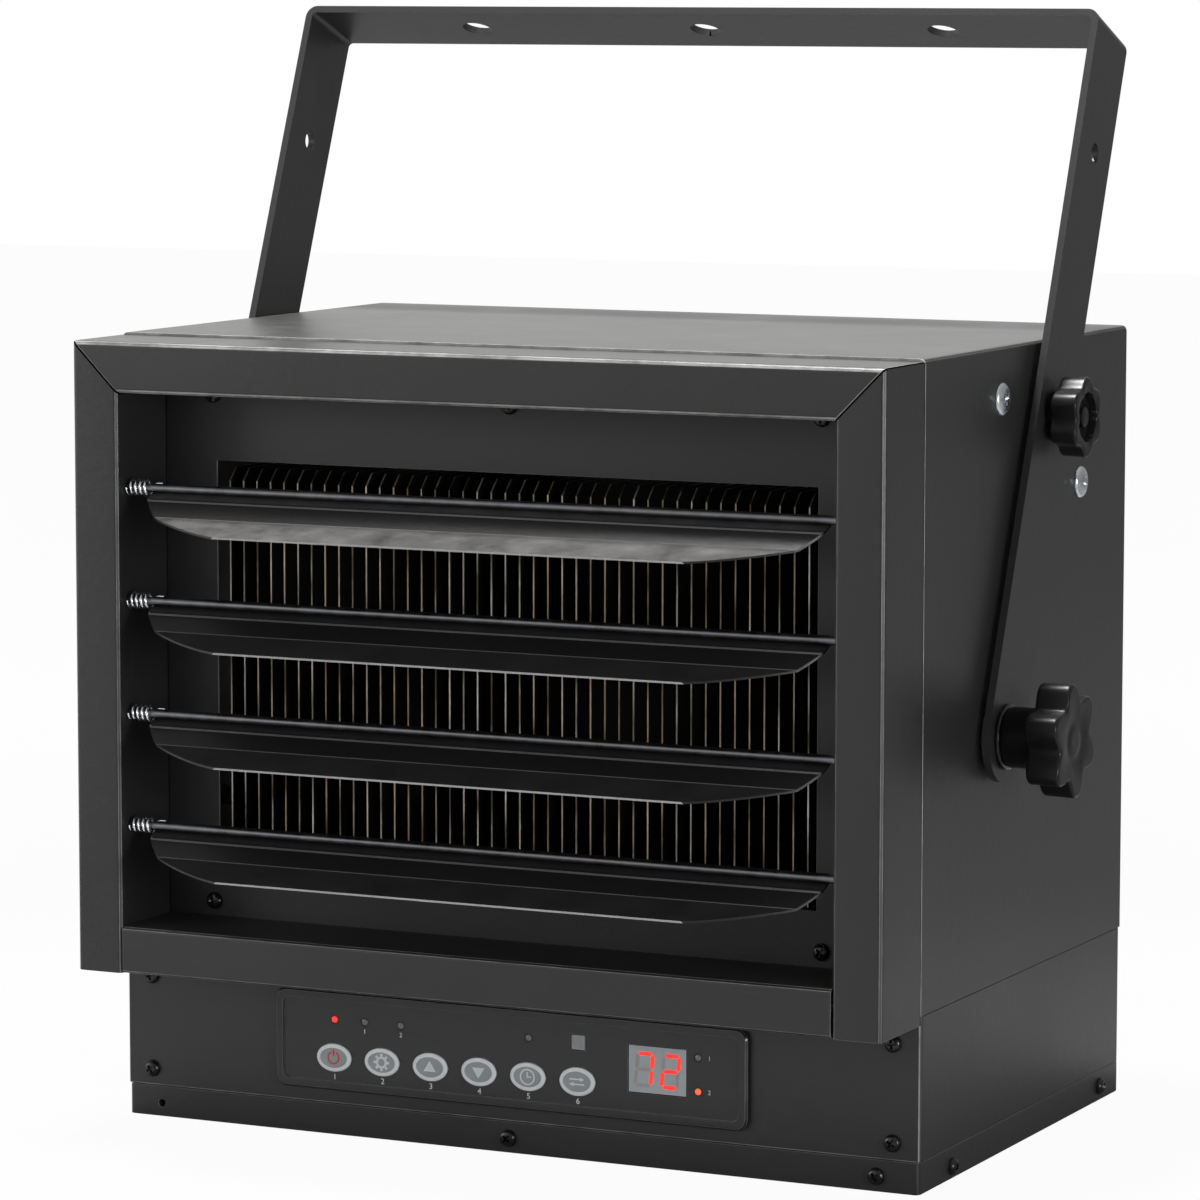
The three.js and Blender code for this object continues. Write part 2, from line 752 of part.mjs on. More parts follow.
function fascia() {
  const rimFront = fasciaFace - fasciaRim;
  const outer = roundedRectangle(fasciaWidth, fasciaHeight, fasciaCorner, fasciaCentreX, fasciaZ);
  const inner = roundedRectangle(
    fasciaWidth - 2 * fasciaRimWidth, fasciaHeight - 2 * fasciaRimWidth,
    fasciaCorner - fasciaRimWidth / 2, fasciaCentreX, fasciaZ,
  );
  const body = prism('y', outer, rimFront, fasciaBack, fasciaEdge, 3);
  const through = [fasciaFace - 1, fasciaBack + 1];
  const keyHoles = keyPlaces.map((x) => (
    prism('y', ellipse(keyWidth + 2 * gap, keyHeight + 2 * gap, x, keyZ), ...through, 0, 5)
  ));
  const lampHoles = lampPlaces.map(([x, z]) => (
    bar('y', lampRadius + gap, ...through, [x, 0, z], 8)
  ));
  const displayHole = prism('y', displayOutline(gap), ...through);
  const receiverHole = prism('y', receiverOutline(gap), ...through);
  const recess = prism('y', inner, rimFront - 1, fasciaFace, 0, 3);
  return cut(body, recess, ...keyHoles, ...lampHoles, displayHole, receiverHole);
}

function displayOutline(margin) {
  const x = fasciaCentreX + displayOffset;
  const z = fasciaZ + displayRise;
  const halfWidth = displayWidth / 2 + margin;
  const halfHeight = displayHeight / 2 + margin;
  return outline([
    [x - halfWidth, z - halfHeight], [x + halfWidth, z - halfHeight],
    [x + halfWidth, z + halfHeight], [x - halfWidth, z + halfHeight],
  ]);
}

function receiverOutline(margin) {
  const reach = receiverSize / 2 + margin;
  return outline([
    [receiverX - reach, lampZ - reach], [receiverX + reach, lampZ - reach],
    [receiverX + reach, lampZ + reach], [receiverX - reach, lampZ + reach],
  ]);
}

function keyCap(x) {
  const capFront = fasciaFace - keyProud;
  const flangeFront = fasciaBack + gap;
  const face = ellipse(keyWidth, keyHeight, x, keyZ);
  const cap = prism('y', face, capFront, flangeFront + joinOverlap, keyCrown, 5);
  const flange = prism(
    'y', ellipse(keyWidth + 2 * keyFlange + gap, keyHeight + 2 * keyFlange + gap, x, keyZ),
    flangeFront, flangeFront + keyFlange, 0, 5,
  );
  const stemEnd = boardFront - switchHeight - keyTravel - gap;
  const stem = bar('y', keyStemRadius, flangeFront + keyFlange - joinOverlap, stemEnd, [x, 0, keyZ], 8);
  return join(cap, flange, stem);
}

/** Control board with its key switches, indicator lamps and standoffs. */
function controlBoard() {
  const width = fasciaWidth - 2 * boardSideRoom;
  const left = fasciaCentreX - width / 2;
  const bottom = fasciaZ - boardHeight / 2;
  const [right, top] = [left + width, bottom + boardHeight];
  const plate = block(left, right, boardFront, boardFront + board, bottom, top);
  const switches = keyPlaces.map((x) => block(
    x - switchSize / 2, x + switchSize / 2, boardFront - switchHeight, boardFront + joinOverlap,
    keyZ - switchSize / 2, keyZ + switchSize / 2,
  ));
  const lamps = lampPlaces.map(([x, z]) => (
    bar('y', lampRadius, fasciaFace + lensSink, boardFront + joinOverlap, [x, 0, z], 8)
  ));
  const corners = [-1, 1].flatMap((i) => [-1, 1].map((k) => [
    fasciaCentreX + i * (width / 2 - standoffInset),
    fasciaZ + k * (boardHeight / 2 - standoffInset),
  ]));
  const standoffs = corners.map(([x, z]) => (
    bar('y', standoffRadius, behindPlate, boardFront + joinOverlap, [x, 0, z], 6)
  ));
  return join(plate, ...switches, ...lamps, ...standoffs);
}

// ---------------------------------------------------------------- power parts

const powerBoardY = frontY + powerBoardSetback;
const powerBoardTop = trayFloor + powerBoardRise + board;

function powerBoard() {
  const left = powerBoardOffset - powerBoardWidth / 2;
  const plate = block(
    left, left + powerBoardWidth, powerBoardY, powerBoardY + powerBoardDepth,
    powerBoardTop - board, powerBoardTop,
  );
  const posts = [0, 1].flatMap((i) => [0, 1].map((k) => bar(
    'z', standoffRadius, trayFloor, powerBoardTop - board + joinOverlap,
    [
      left + standoffInset * 2 + i * (powerBoardWidth - standoffInset * 4),
      powerBoardY + standoffInset * 2 + k * (powerBoardDepth - standoffInset * 4), 0,
    ], 8,
  )));
  return join(plate, ...posts);
}

function relay(index) {
  const first = powerBoardOffset - powerBoardWidth / 2 + relayEdgeRoom + relayWidth / 2;
  const x = first + index * relayPitch;
  const y = powerBoardY + relayEdgeRoom + relayDepth / 2;
  const body = roundedRectangle(relayWidth, relayDepth, 1, x, y);
  const bottom = powerBoardTop + gap;
  return prism('z', body, bottom, bottom + relayHeight, 0.8, 2);
}

/** Laminated core with its winding standing out at both ends. */
function boardTransformer() {
  const x = powerBoardOffset + powerBoardWidth / 2 - relayEdgeRoom - transformerWidth / 2;
  const y = powerBoardY + relayEdgeRoom + transformerDepth / 2;
  const bottom = powerBoardTop + gap;
  const core = block(
    x - transformerWidth / 2, x + transformerWidth / 2,
    y - transformerDepth / 2 + transformerBobbin, y + transformerDepth / 2 - transformerBobbin,
    bottom, bottom + transformerHeight,
  );
  const winding = roundedRectangle(
    transformerWidth - 2 * transformerBobbin, transformerHeight - 2 * transformerBobbin,
    transformerBobbin, x, bottom + transformerHeight / 2,
  );
  return join(core, prism('y', winding, y - transformerDepth / 2, y + transformerDepth / 2, 0, 2));
}

/** Barrier strip: a comb of walls with a screw well between each pair. */
function terminalBlock() {
  const right = half - sideRoom;
  const left = right - terminalWidth;
  const back = backY - terminalRearRoom;
  const bay = (terminalWidth - terminalWall) / terminalWays;
  const body = block(left, right, back - terminalDepth, back, trayFloor, trayFloor + terminalHeight);
  const wells = Array.from({ length: terminalWays }, (_, i) => block(
    left + terminalWall + i * bay, left + (i + 1) * bay,
    back - terminalDepth - 1, back + 1,
    trayFloor + terminalHeight - terminalWell, trayFloor + terminalHeight + 1,
  ));
  return cut(body, ...wells);
}

function contactor() {
  const right = half - sideRoom;
  const left = right - contactorWidth;
  const middle = (left + right) / 2;
  const section = outline([
    [-contactorDepth / 2, 0], [contactorDepth / 2, 0],
    [contactorDepth / 2, contactorHeight - contactorStep],
    [contactorDepth / 2 - contactorStep, contactorHeight - contactorStep],
    [contactorDepth / 2 - contactorStep, contactorHeight],
    [-contactorDepth / 2 + contactorStep, contactorHeight],
    [-contactorDepth / 2 + contactorStep, contactorHeight - contactorStep],
    [-contactorDepth / 2, contactorHeight - contactorStep],
  ].map(([y, z]) => [y, z + trayFloor]));
  const body = prism('x', section, middle - contactorWidth / 2, middle + contactorWidth / 2);
  const slots = [-1, 1].map((i) => block(
    middle + (i * contactorWidth) / 6 - contactorSlot / 2,
    middle + (i * contactorWidth) / 6 + contactorSlot / 2,
    -contactorDepth, contactorDepth,
    trayFloor + contactorHeight - contactorStep / 2, trayFloor + contactorHeight + 1,
  ));
  return cut(body, ...slots);
}

/** Clamp-type cable entry through the control box's rear wall. */
function cableGland() {
  return lathe('y', [
    [glandBore, backY - sheet - gap - glandNut],
    [glandNutRadius, backY - sheet - gap - glandNut],
    [glandNutRadius, backY - sheet - gap],
    [glandNeck, backY - sheet - gap],
    [glandNeck, backY + gap],
    [glandFlange, backY + gap],
    [glandFlange, backY + gap + glandFlangeSheet],
    [glandNeck, backY + gap + glandFlangeSheet],
    [glandNeck, backY + gap + glandOuterLength],
    [glandBore, backY + gap + glandOuterLength],
    [glandBore, backY - sheet - gap - glandNut],
  ], [glandOffset, 0, glandHeight], 14);
}

// ---------------------------------------------------------------- finned element

const tubeHeights = Array.from({ length: tubeCount }, (_, i) => {
  const span = finTop - finBottom - 2 * tubeEndRoom;
  return finBottom + tubeEndRoom + (i * span) / (tubeCount - 1);
});
const finFront = frontY + finSetback;
const tubeY = finFront + finDepth / 2;
const endPlateInner = outletWidth / 2 + endPlateOffset;
const tubeReach = endPlateInner + sheet + terminalLength / 2;

/** Heating tubes with the fins pressed on them. */
function heaterCore() {
  const finSection = outline([
    [finFront, finBottom], [finFront + finDepth, finBottom], [finFront + finDepth, finTop],
    [finFront + finChamfer, finTop], [finFront, finTop - finChamfer],
  ]);
  const reach = outletWidth / 2 - finSideRoom;
  const pitch = (2 * reach) / (finCount - 1);
  const fins = Array.from({ length: finCount }, (_, i) => {
    const x = -reach + i * pitch;
    return prism('x', finSection, x - finSheet / 2, x + finSheet / 2);
  });
  const tubes = tubeHeights.map((z) => {
    const pinEnd = tubeReach + terminalLength;
    return lathe('x', [
      [0, -pinEnd], [terminalRadius, -pinEnd], [terminalRadius, -tubeReach],
      [tubeRadius, -tubeReach], [tubeRadius, tubeReach],
      [terminalRadius, tubeReach], [terminalRadius, pinEnd], [0, pinEnd],
    ], [0, tubeY, z], 5);
  });
  return join(...fins, ...tubes);
}

/** Flanged plate that holds the tubes' ends and screws to the outlet plate. */
function elementEndPlate(side) {
  const flangeEnd = side * (endPlateInner + sheet - endPlateFlange);
  const web = side * (endPlateInner + sheet);
  const section = foldedSheet(
    [[web, finFront + finDepth], [web, behindPlate], [flangeEnd, behindPlate]],
    sheet, side === 1 ? -1 : 1,
  );
  const plate = prism('z', section, finBottom - endPlateRise, finTop + endPlateRise);
  const [low, high] = [web, side * endPlateInner].sort((a, b) => a - b);
  const holes = tubeHeights.map((z) => (
    bar('x', tubeRadius + gap, low - 1, high + 1, [0, tubeY, z], 8)
  ));
  return cut(plate, ...holes);
}

function limitThermostat() {
  const z = outletTop + thermostatRise;
  const capRadius = thermostatRadius - thermostatCapInset;
  return lathe('y', [
    [0, behindPlate], [thermostatRadius, behindPlate],
    [thermostatRadius, behindPlate + thermostatBase],
    [capRadius, behindPlate + thermostatBase + thermostatStep],
    [capRadius, behindPlate + thermostatLength],
    [0, behindPlate + thermostatLength],
  ], [thermostatOffset, 0, z], 16);
}

// ---------------------------------------------------------------- fan and motor

function fanMotor() {
  const bore = shaftRadius + gap;
  return lathe('y', [
    [0, motorFront - motorBossLength], [motorNoseRadius, motorFront - motorBossLength],
    [motorNoseRadius, motorFront], [motorRadius - motorShoulder, motorFront],
    [motorRadius, motorFront + motorShoulder], [motorRadius, motorBack - motorShoulder],
    [motorRadius - motorShoulder, motorBack], [motorBossRadius, motorBack],
    [motorNoseRadius, motorBack + motorBossLength],
    [bore, motorBack + motorBossLength], [bore, motorBack - shaftBite], [0, motorBack - shaftBite],
  ], [0, 0, fanZ], 20);
}

function motorShaft() {
  return bar('y', shaftRadius, motorBack - shaftBite + gap, hubBack + shaftEnd, [0, 0, fanZ], 12);
}

/** Upright strap with turned ends, and a hole for the motor's front boss. */
function motorBracket() {
  const face = motorFront - gap;
  const [low, high] = [floorTop + gap, insideTop - gap];
  const section = foldedSheet(
    [[face - motorBracketFlange, low], [face, low], [face, high], [face - motorBracketFlange, high]],
    motorBracketSheet, 1,
  );
  const strap = prism('x', section, -motorBracketWidth / 2, motorBracketWidth / 2);
  const ends = [face - motorBracketSheet - 1, face + 1];
  return cut(strap, bar('y', motorNoseRadius + gap, ...ends, [0, 0, fanZ], 24));
}

/** One twisted blade, as a closed loft of chord lines between the hub and the tip. */
function fanBlade(angle) {
  const stations = 4;
  const chordSteps = 3;
  const middleY = (hubFront + hubBack) / 2;
  const rootRadius = fanHubRadius - fanRootSink;
  const camber = 0.08; // of the chord
  const positions = [];
  for (let i = 0; i < stations; i += 1) {
    const t = i / (stations - 1);
    const radius = rootRadius + t * (fanRadius - rootRadius);
    const chord = fanRootChord + t * (fanTipChord - fanRootChord);
    const pitch = radians(fanRootPitch + t * (fanTipPitch - fanRootPitch));
    for (const face of [-0.5, 0.5]) {
      for (let k = 0; k <= chordSteps; k += 1) {
        const along = k / chordSteps - 0.5;
        const bulge = camber * chord * (1 - 4 * along * along) + face * fanBladeSheet;
        const across = chord * along * Math.cos(pitch) - bulge * Math.sin(pitch);
        const depth = chord * along * Math.sin(pitch) + bulge * Math.cos(pitch);
        const turn = angle + across / radius;
        positions.push(radius * Math.cos(turn), middleY + depth, fanZ + radius * Math.sin(turn));
      }
    }
  }
  const row = chordSteps + 1;
  const at = (i, face, k) => i * 2 * row + face * row + k;
  const index = [];
  const quad = (a, b, c, d) => index.push(a, b, c, a, c, d);
  for (let i = 0; i < stations - 1; i += 1) {
    for (let k = 0; k < chordSteps; k += 1) {
      quad(at(i, 0, k), at(i, 0, k + 1), at(i + 1, 0, k + 1), at(i + 1, 0, k));
      quad(at(i, 1, k), at(i + 1, 1, k), at(i + 1, 1, k + 1), at(i, 1, k + 1));
    }
    quad(at(i, 0, 0), at(i + 1, 0, 0), at(i + 1, 1, 0), at(i, 1, 0));
    quad(at(i, 0, chordSteps), at(i, 1, chordSteps), at(i + 1, 1, chordSteps), at(i + 1, 0, chordSteps));
  }
  const tip = stations - 1;
  for (let k = 0; k < chordSteps; k += 1) {
    quad(at(0, 0, k), at(0, 1, k), at(0, 1, k + 1), at(0, 0, k + 1));
    quad(at(tip, 0, k), at(tip, 0, k + 1), at(tip, 1, k + 1), at(tip, 1, k));
  }
  const geometry = new THREE.BufferGeometry();
  geometry.setAttribute('position', new THREE.Float32BufferAttribute(positions, 3));
  geometry.setIndex(index);
  return solidFrom(geometry);
}

function fan() {
  const bore = shaftRadius + gap;
  const hub = lathe('y', [
    [bore, hubFront], [fanHubRadius - fanHubDome, hubFront], [fanHubRadius, hubFront + fanHubDome],
    [fanHubRadius, hubBack], [bore, hubBack], [bore, hubFront],
  ], [0, 0, fanZ], 16);
  const blades = Array.from({ length: fanBladeCount }, (_, i) => (
    fanBlade((i * 2 * Math.PI) / fanBladeCount)
  ));
  return join(hub, ...blades);
}

// ---------------------------------------------------------------- louvres

/** Blade section about its rod: a curl over the rod, then bands that fall away forwards. */
function louvreSection() {
  const leave = 90 + louvreBands[0].slope; // degrees round the rod where the blade leaves
  const curlSteps = 10;
  const curl = Array.from({ length: curlSteps + 1 }, (_, i) => {
    const turn = radians(leave - louvreCurl * (1 - i / curlSteps));
    return [curlRadius * Math.cos(turn), curlRadius * Math.sin(turn)];
  });
  let [y, z] = curl[curlSteps];
  const bands = louvreBands.map(({ length, slope }) => {
    y -= length * Math.cos(radians(slope));
    z -= length * Math.sin(radians(slope));
    return [y, z];
  });
  return { section: foldedSheet([...curl, ...bands], louvreSheet, -1, 0), reach: -y };
}

/** Plan of a blade: straight at the rod, with long round corners at the free edge. */
function louvrePlan(reach) {
  const back = curlRadius + louvreSheet + 1;
  const front = -reach - louvreSheet;
  const round = reach + louvreSheet - louvreCornerFlat;
  const shape = new THREE.Shape();
  shape.moveTo(bladeLeft, back);
  shape.lineTo(bladeLeft, -louvreCornerFlat);
  shape.absellipse(
    bladeLeft + louvreCornerRun, -louvreCornerFlat, louvreCornerRun, round,
    Math.PI, 1.5 * Math.PI, false, 0,
  );
  shape.lineTo(bladeRight - louvreCornerRun, front);
  shape.absellipse(
    bladeRight - louvreCornerRun, -louvreCornerFlat, louvreCornerRun, round,
    1.5 * Math.PI, 2 * Math.PI, false, 0,
  );
  shape.lineTo(bladeRight, back);
  shape.closePath();
  return shape;
}

function louvreBlade() {
  const { section, reach } = louvreSection();
  const blank = prism('x', section, bladeLeft, bladeRight);
  const plan = prism('z', louvrePlan(reach), -cabinetHeight, cabinetHeight, 0, 9);
  return blank.intersect(plan);
}

function louvreRod() {
  const end = frameInner + rodBite;
  return bar('x', louvreRodRadius, -end, end, [0, 0, 0], 10);
}

/** Middle line of a louvre spring: open curls round the rod, then a short tail upwards. */
class SpringLine extends THREE.Curve {
  constructor(start, end) {
    super();
    this.start = start;
    this.end = end;
    this.curlLength = 2 * Math.PI * springRadius * springTurns;
  }

  getPoint(t, target = new THREE.Vector3()) {
    const along = t * (this.curlLength + springTail);
    const curl = Math.min(1, along / this.curlLength);
    const turn = 2 * Math.PI * springTurns * (curl - 1);
    const tail = Math.max(0, along - this.curlLength);
    return target.set(
      this.start + (this.end - this.start) * curl,
      springRadius * Math.cos(turn),
      springRadius * Math.sin(turn) + tail,
    );
  }
}

/** Least distance between the wire's surfaces at places more than half a turn apart. */
function leastSpringGap(line) {
  const samples = 400;
  const points = line.getSpacedPoints(samples);
  const skip = Math.ceil((Math.PI * springRadius) / (line.getLength() / samples));
  let least = Infinity;
  for (let i = 0; i < points.length; i += 1) {
    for (let k = i + skip; k < points.length; k += 1) {
      least = Math.min(least, points[i].distanceTo(points[k]));
    }
  }
  return least - springWire;
}

function louvreSpring() {
  const margin = gap + springWire / 2;
  const line = new SpringLine(-frameInner + margin, bladeLeft - margin);
  const sides = 5;
  const corners = Array.from({ length: sides }, (_, i) => {
    const turn = (i * 2 * Math.PI) / sides;
    return [(springWire / 2) * Math.cos(turn), (springWire / 2) * Math.sin(turn)];
  });
  const stepsPerTurn = 8;
  const steps = Math.round(stepsPerTurn * springTurns) + 3;
  console.log('least gap in a louvre spring, mm:', leastSpringGap(line).toFixed(2));
  return solidFrom(new THREE.ExtrudeGeometry(outline(corners), {
    steps, bevelEnabled: false, extrudePath: line,
  }));
}

// ---------------------------------------------------------------- mounting bracket and knobs

/** Bent flat bar, drawn upright about its pivot: +Z towards the ceiling bar. */
function mountingBracket() {
  const halfBar = bracketWidth / 2;
  const section = foldedSheet(
    [[-armOuter, -halfBar], [-armOuter, bracketReach], [armOuter, bracketReach], [armOuter, -halfBar]],
    bracketSheet, -1, bracketBend,
  );
  const side = new THREE.Shape();
  side.moveTo(halfBar, 0);
  side.lineTo(halfBar, bracketReach + 1);
  side.lineTo(-halfBar, bracketReach + 1);
  side.lineTo(-halfBar, 0);
  side.absarc(0, 0, halfBar, Math.PI, 2 * Math.PI, false);
  const blank = prism('y', section, -halfBar, halfBar);
  const rounded = blank.intersect(prism('x', side, -armOuter - 1, armOuter + 1, 0, 12));
  const armHole = (radius, z) => bar('x', radius, -armOuter - 1, armOuter + 1, [0, 0, z], 12);
  const barHoles = [-1, 0, 1].map((i) => bar(
    'z', barHoleRadius, bracketReach - bracketSheet - 1, bracketReach + 1, [i * barHolePitch, 0, 0], 16,
  ));
  return cut(
    rounded, armHole(studRadius + boreGap, 0), armHole(studRadius + boreGap, lockRadius),
    armHole(armHoleRadius, armHoleReach), ...barHoles,
  );
}

/** Star knob drawn along +X from its seat: stud inwards, collar, lobed head with a dished face. */
function starKnob(size) {
  const count = size.lobes * size.lobePoints;
  const start = Math.PI - radians(size.firstLobe); // this lobe is as many degrees above the front
  const lobed = outline(Array.from({ length: count }, (_, i) => {
    const turn = (i * 2 * Math.PI) / count;
    const valley = 0.5 - 0.5 * Math.cos(size.lobes * turn);
    const radius = size.radius - size.scallop * valley ** size.valleyPower;
    return [radius * Math.cos(start + turn), radius * Math.sin(start + turn)];
  }));
  const faceX = size.collarLength + size.length;
  const head = prism('x', lobed, size.collarLength, faceX, size.bevel);
  const collar = bar('x', size.collarRadius, 0, size.collarLength + size.bevel, [0, 0, 0], 16);
  const stud = bar('x', studRadius, -size.studLength, joinOverlap, [0, 0, 0], 10);
  const dish = ring(
    'x', size.dishRadius - size.dishWidth, size.dishRadius, faceX - size.dishDepth, faceX + 1,
    [0, 0, 0], 16,
  );
  return cut(join(head, collar, stud), dish);
}

const washer = () => ring('x', studRadius + boreGap, washerRadius, 0, washerSheet, [0, 0, 0]);
const spacer = () => ring('x', studRadius + boreGap, spacerRadius, 0, bracketStandoff - 2 * gap, [0, 0, 0]);

// ---------------------------------------------------------------- assembly

addPiece('cabinet_wrap', cabinetWrap(), 'coat');
addPiece('outlet_plate', outletPlate(), 'innerCoat');
addPiece('divider_floor', dividerFloor(), 'innerCoat');
addPiece('rear_panel', rearPanel(), 'coat');
addPiece('rear_guard', rearGuard(), 'guard');

addPiece('frame_left_rail', sideRail(-1), 'coat');
addPiece('frame_right_rail', sideRail(1), 'coat');
addPiece('frame_top_rail', topRail(), 'coat');
addPiece('frame_bottom_rail', bottomRail(), 'coat');

addPiece('control_box_shell', controlBoxShell(), 'coat');
addPiece('control_panel', controlPanel(), 'coat');
addPiece('base_tray', baseTray(), 'coat');

addPiece('fascia', fascia(), 'fascia');
const keyNames = ['key_power', 'key_mode', 'key_up', 'key_down', 'key_timer', 'key_units'];
keyPlaces.forEach((x, i) => addPiece(keyNames[i], keyCap(x), 'keys'));
const lensDepth = [fasciaFace + lensSink, boardFront - gap];
addPiece('display_module', prism('y', displayOutline(0), ...lensDepth), 'display');
addPiece('remote_receiver', prism('y', receiverOutline(0), ...lensDepth), 'lens');
addPiece('control_board', controlBoard(), 'circuit');

addPiece('power_board', powerBoard(), 'circuit');
addPiece('relay_1', relay(0), 'relay');
addPiece('relay_2', relay(1), 'relay');
addPiece('board_transformer', boardTransformer(), 'copper');
addPiece('terminal_block', terminalBlock(), 'phenolic');
addPiece('contactor', contactor(), 'phenolic');
addPiece('cable_gland', cableGland(), 'zinc');

addPiece('heater_core', heaterCore(), 'fin');
addPiece('element_plate_left', elementEndPlate(-1), 'zinc');
addPiece('element_plate_right', elementEndPlate(1), 'zinc');
addPiece('limit_thermostat', limitThermostat(), 'phenolic');

addPiece('fan_motor', fanMotor(), 'motor');
addPiece('motor_shaft', motorShaft(), 'zinc');
addPiece('motor_bracket', motorBracket(), 'zinc');
addPiece('fan', fan(), 'aluminium');

const bladeShape = geometryFrom(louvreBlade());
const rodShape = geometryFrom(louvreRod());
const springShape = geometryFrom(louvreSpring());
louvreHeights.forEach((z, i) => {
  const louvre = new THREE.Group();
  louvre.position.set(0, louvreY, z);
  addPiece(`louvre_blade_${i + 1}`, bladeShape, 'coat', louvre);
  addPiece(`louvre_rod_${i + 1}`, rodShape, 'coat', louvre);
  addPiece(`louvre_spring_${i + 1}`, springShape, 'zinc', louvre);
  heater.add(louvre);
});

const bracket = new THREE.Group();
bracket.position.set(0, pivotY, pivotHeight);
bracket.rotation.x = -radians(bracketLean);
addPiece('mounting_bracket', mountingBracket(), 'coat', bracket);
heater.add(bracket);

const knobShape = geometryFrom(starKnob(pivotKnob));
const lockShape = geometryFrom(starKnob(lockKnob));
const washerShape = geometryFrom(washer());
const spacerShape = geometryFrom(spacer());
const washerSeat = armOuter + gap;
const knobSeat = washerSeat + washerSheet + gap;
const sides = [['left', -1], ['right', 1]];
for (const [name, side] of sides) {
  const pivot = new THREE.Group();
  pivot.position.set(0, pivotY, pivotHeight);
  pivot.rotation.z = side === 1 ? 0 : Math.PI;
  addPiece(`pivot_spacer_${name}`, spacerShape, 'zinc', pivot).position.x = half + gap;
  addPiece(`pivot_washer_${name}`, washerShape, 'zinc', pivot).position.x = washerSeat;
  addPiece(`pivot_knob_${name}`, knobShape, 'knob', pivot).position.x = knobSeat;
  heater.add(pivot);

  const lock = new THREE.Group();
  lock.position.set(0, 0, lockRadius);
  lock.rotation.z = side === 1 ? 0 : Math.PI;
  addPiece(`lock_knob_${name}`, lockShape, 'knob', lock).position.x = armOuter + gap;
  bracket.add(lock);
}

export default heater;
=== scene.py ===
import json
import math
import random

import bpy
from mathutils import Matrix, Vector


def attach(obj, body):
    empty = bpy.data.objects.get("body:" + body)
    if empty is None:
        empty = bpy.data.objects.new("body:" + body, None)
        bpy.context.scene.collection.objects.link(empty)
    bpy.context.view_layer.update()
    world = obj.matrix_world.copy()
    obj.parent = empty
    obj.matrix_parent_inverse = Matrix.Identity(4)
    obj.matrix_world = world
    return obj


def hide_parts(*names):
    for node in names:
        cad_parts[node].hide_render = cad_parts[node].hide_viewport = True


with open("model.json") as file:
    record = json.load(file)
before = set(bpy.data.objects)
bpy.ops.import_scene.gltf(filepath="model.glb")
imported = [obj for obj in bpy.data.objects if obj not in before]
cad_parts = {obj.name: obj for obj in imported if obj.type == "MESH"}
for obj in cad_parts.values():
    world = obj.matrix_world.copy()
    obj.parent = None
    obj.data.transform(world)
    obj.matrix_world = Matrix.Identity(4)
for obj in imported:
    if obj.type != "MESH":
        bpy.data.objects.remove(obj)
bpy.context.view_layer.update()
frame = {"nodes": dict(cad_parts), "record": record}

mm = 0.001
dice = random.Random(7)
print("frame loaded:", len(frame["nodes"]), "pieces")


# mesh tools: points are in millimetres, objects in metres

def addMesh(name, points, faces, angle=35):
    mesh = bpy.data.meshes.new(name)
    mesh.from_pydata([Vector(p) * mm for p in points], [], faces)
    mesh.validate()
    mesh.shade_smooth()
    mesh.set_sharp_from_angle(angle=math.radians(angle))
    piece = bpy.data.objects.new(name, mesh)
    bpy.context.scene.collection.objects.link(piece)
    return piece


def joinRings(rings, closed=False):
    # points and side faces of rings that have equally many points
    count = len(rings[0])
    faces = []
    for i in range(len(rings) if closed else len(rings) - 1):
        a, b = i * count, ((i + 1) % len(rings)) * count
        for k in range(count):
            n = (k + 1) % count
            faces.append((a + k, a + n, b + n, b + k))
    return [p for ring in rings for p in ring], faces


def loft(name, rings, angle=35, closed=False):
    # rings joined side by side and capped at both ends, or joined into a loop
    points, faces = joinRings(rings, closed)
    if not closed:
        count = len(rings[0])
        faces.append(tuple(reversed(range(count))))
        faces.append(tuple(range(len(points) - count, len(points))))
    return addMesh(name, points, faces, angle)


def circle(radius, along, steps):
    turns = [2 * math.pi * k / steps for k in range(steps)]
    return [(radius * math.cos(t), radius * math.sin(t), along) for t in turns]


def turned(name, profile, steps=48, angle=35, closed=False):
    # a (radius, along) profile turned round Z
    rings = [circle(max(radius, 0.01), along, steps) for radius, along in profile]
    return loft(name, rings, angle, closed=closed)


def rounded(profile, radius, steps=3):
    # a profile whose inner corners are rounded off
    result = [profile[0]]
    for before, corner, after in zip(profile, profile[1:], profile[2:]):
        c = Vector(corner)
        a, b = Vector(before) - c, Vector(after) - c
        reach = min(radius, 0.45 * a.length, 0.45 * b.length)
        start, end = c + a.normalized() * reach, c + b.normalized() * reach
        for k in range(steps + 1):
            t = k / steps
            result.append(tuple(start * (1 - t) ** 2 + c * 2 * t * (1 - t) + end * t * t))
    return result + [profile[-1]]


def tube(name, path, radius, sides=10, closed=False):
    # a round wire along a line of points
    line = [Vector(p) for p in path]
    last = len(line) - 1
    across = None
    rings = []
    for i, point in enumerate(line):
        ahead = line[(i + 1) % len(line)] if closed else line[min(i + 1, last)]
        behind = line[i - 1] if closed else line[max(i - 1, 0)]
        run = (ahead - behind).normalized()
        if across is None:
            across = run.orthogonal().normalized()
        across = (across - run * across.dot(run)).normalized()
        other = run.cross(across)
        turns = [2 * math.pi * k / sides for k in range(sides)]
        rings.append([point + (across * math.cos(t) + other * math.sin(t)) * radius for t in turns])
    return loft(name, rings, 60, closed=closed)


def flatMarks(name, outlines, front, depth=0.1):
    # thin raised shapes, drawn in (x, z), that face -Y
    points, faces = [], []
    for shape in outlines:
        start, count = len(points), len(shape)
        points += [(x, front, z) for x, z in shape] + [(x, front + depth, z) for x, z in shape]
        faces.append(tuple(range(start, start + count)))
        faces.append(tuple(reversed(range(start + count, start + 2 * count))))
        for k in range(count):
            n = (k + 1) % count
            faces.append((start + k, start + count + k, start + count + n, start + n))
    return addMesh(name, points, faces, 20)


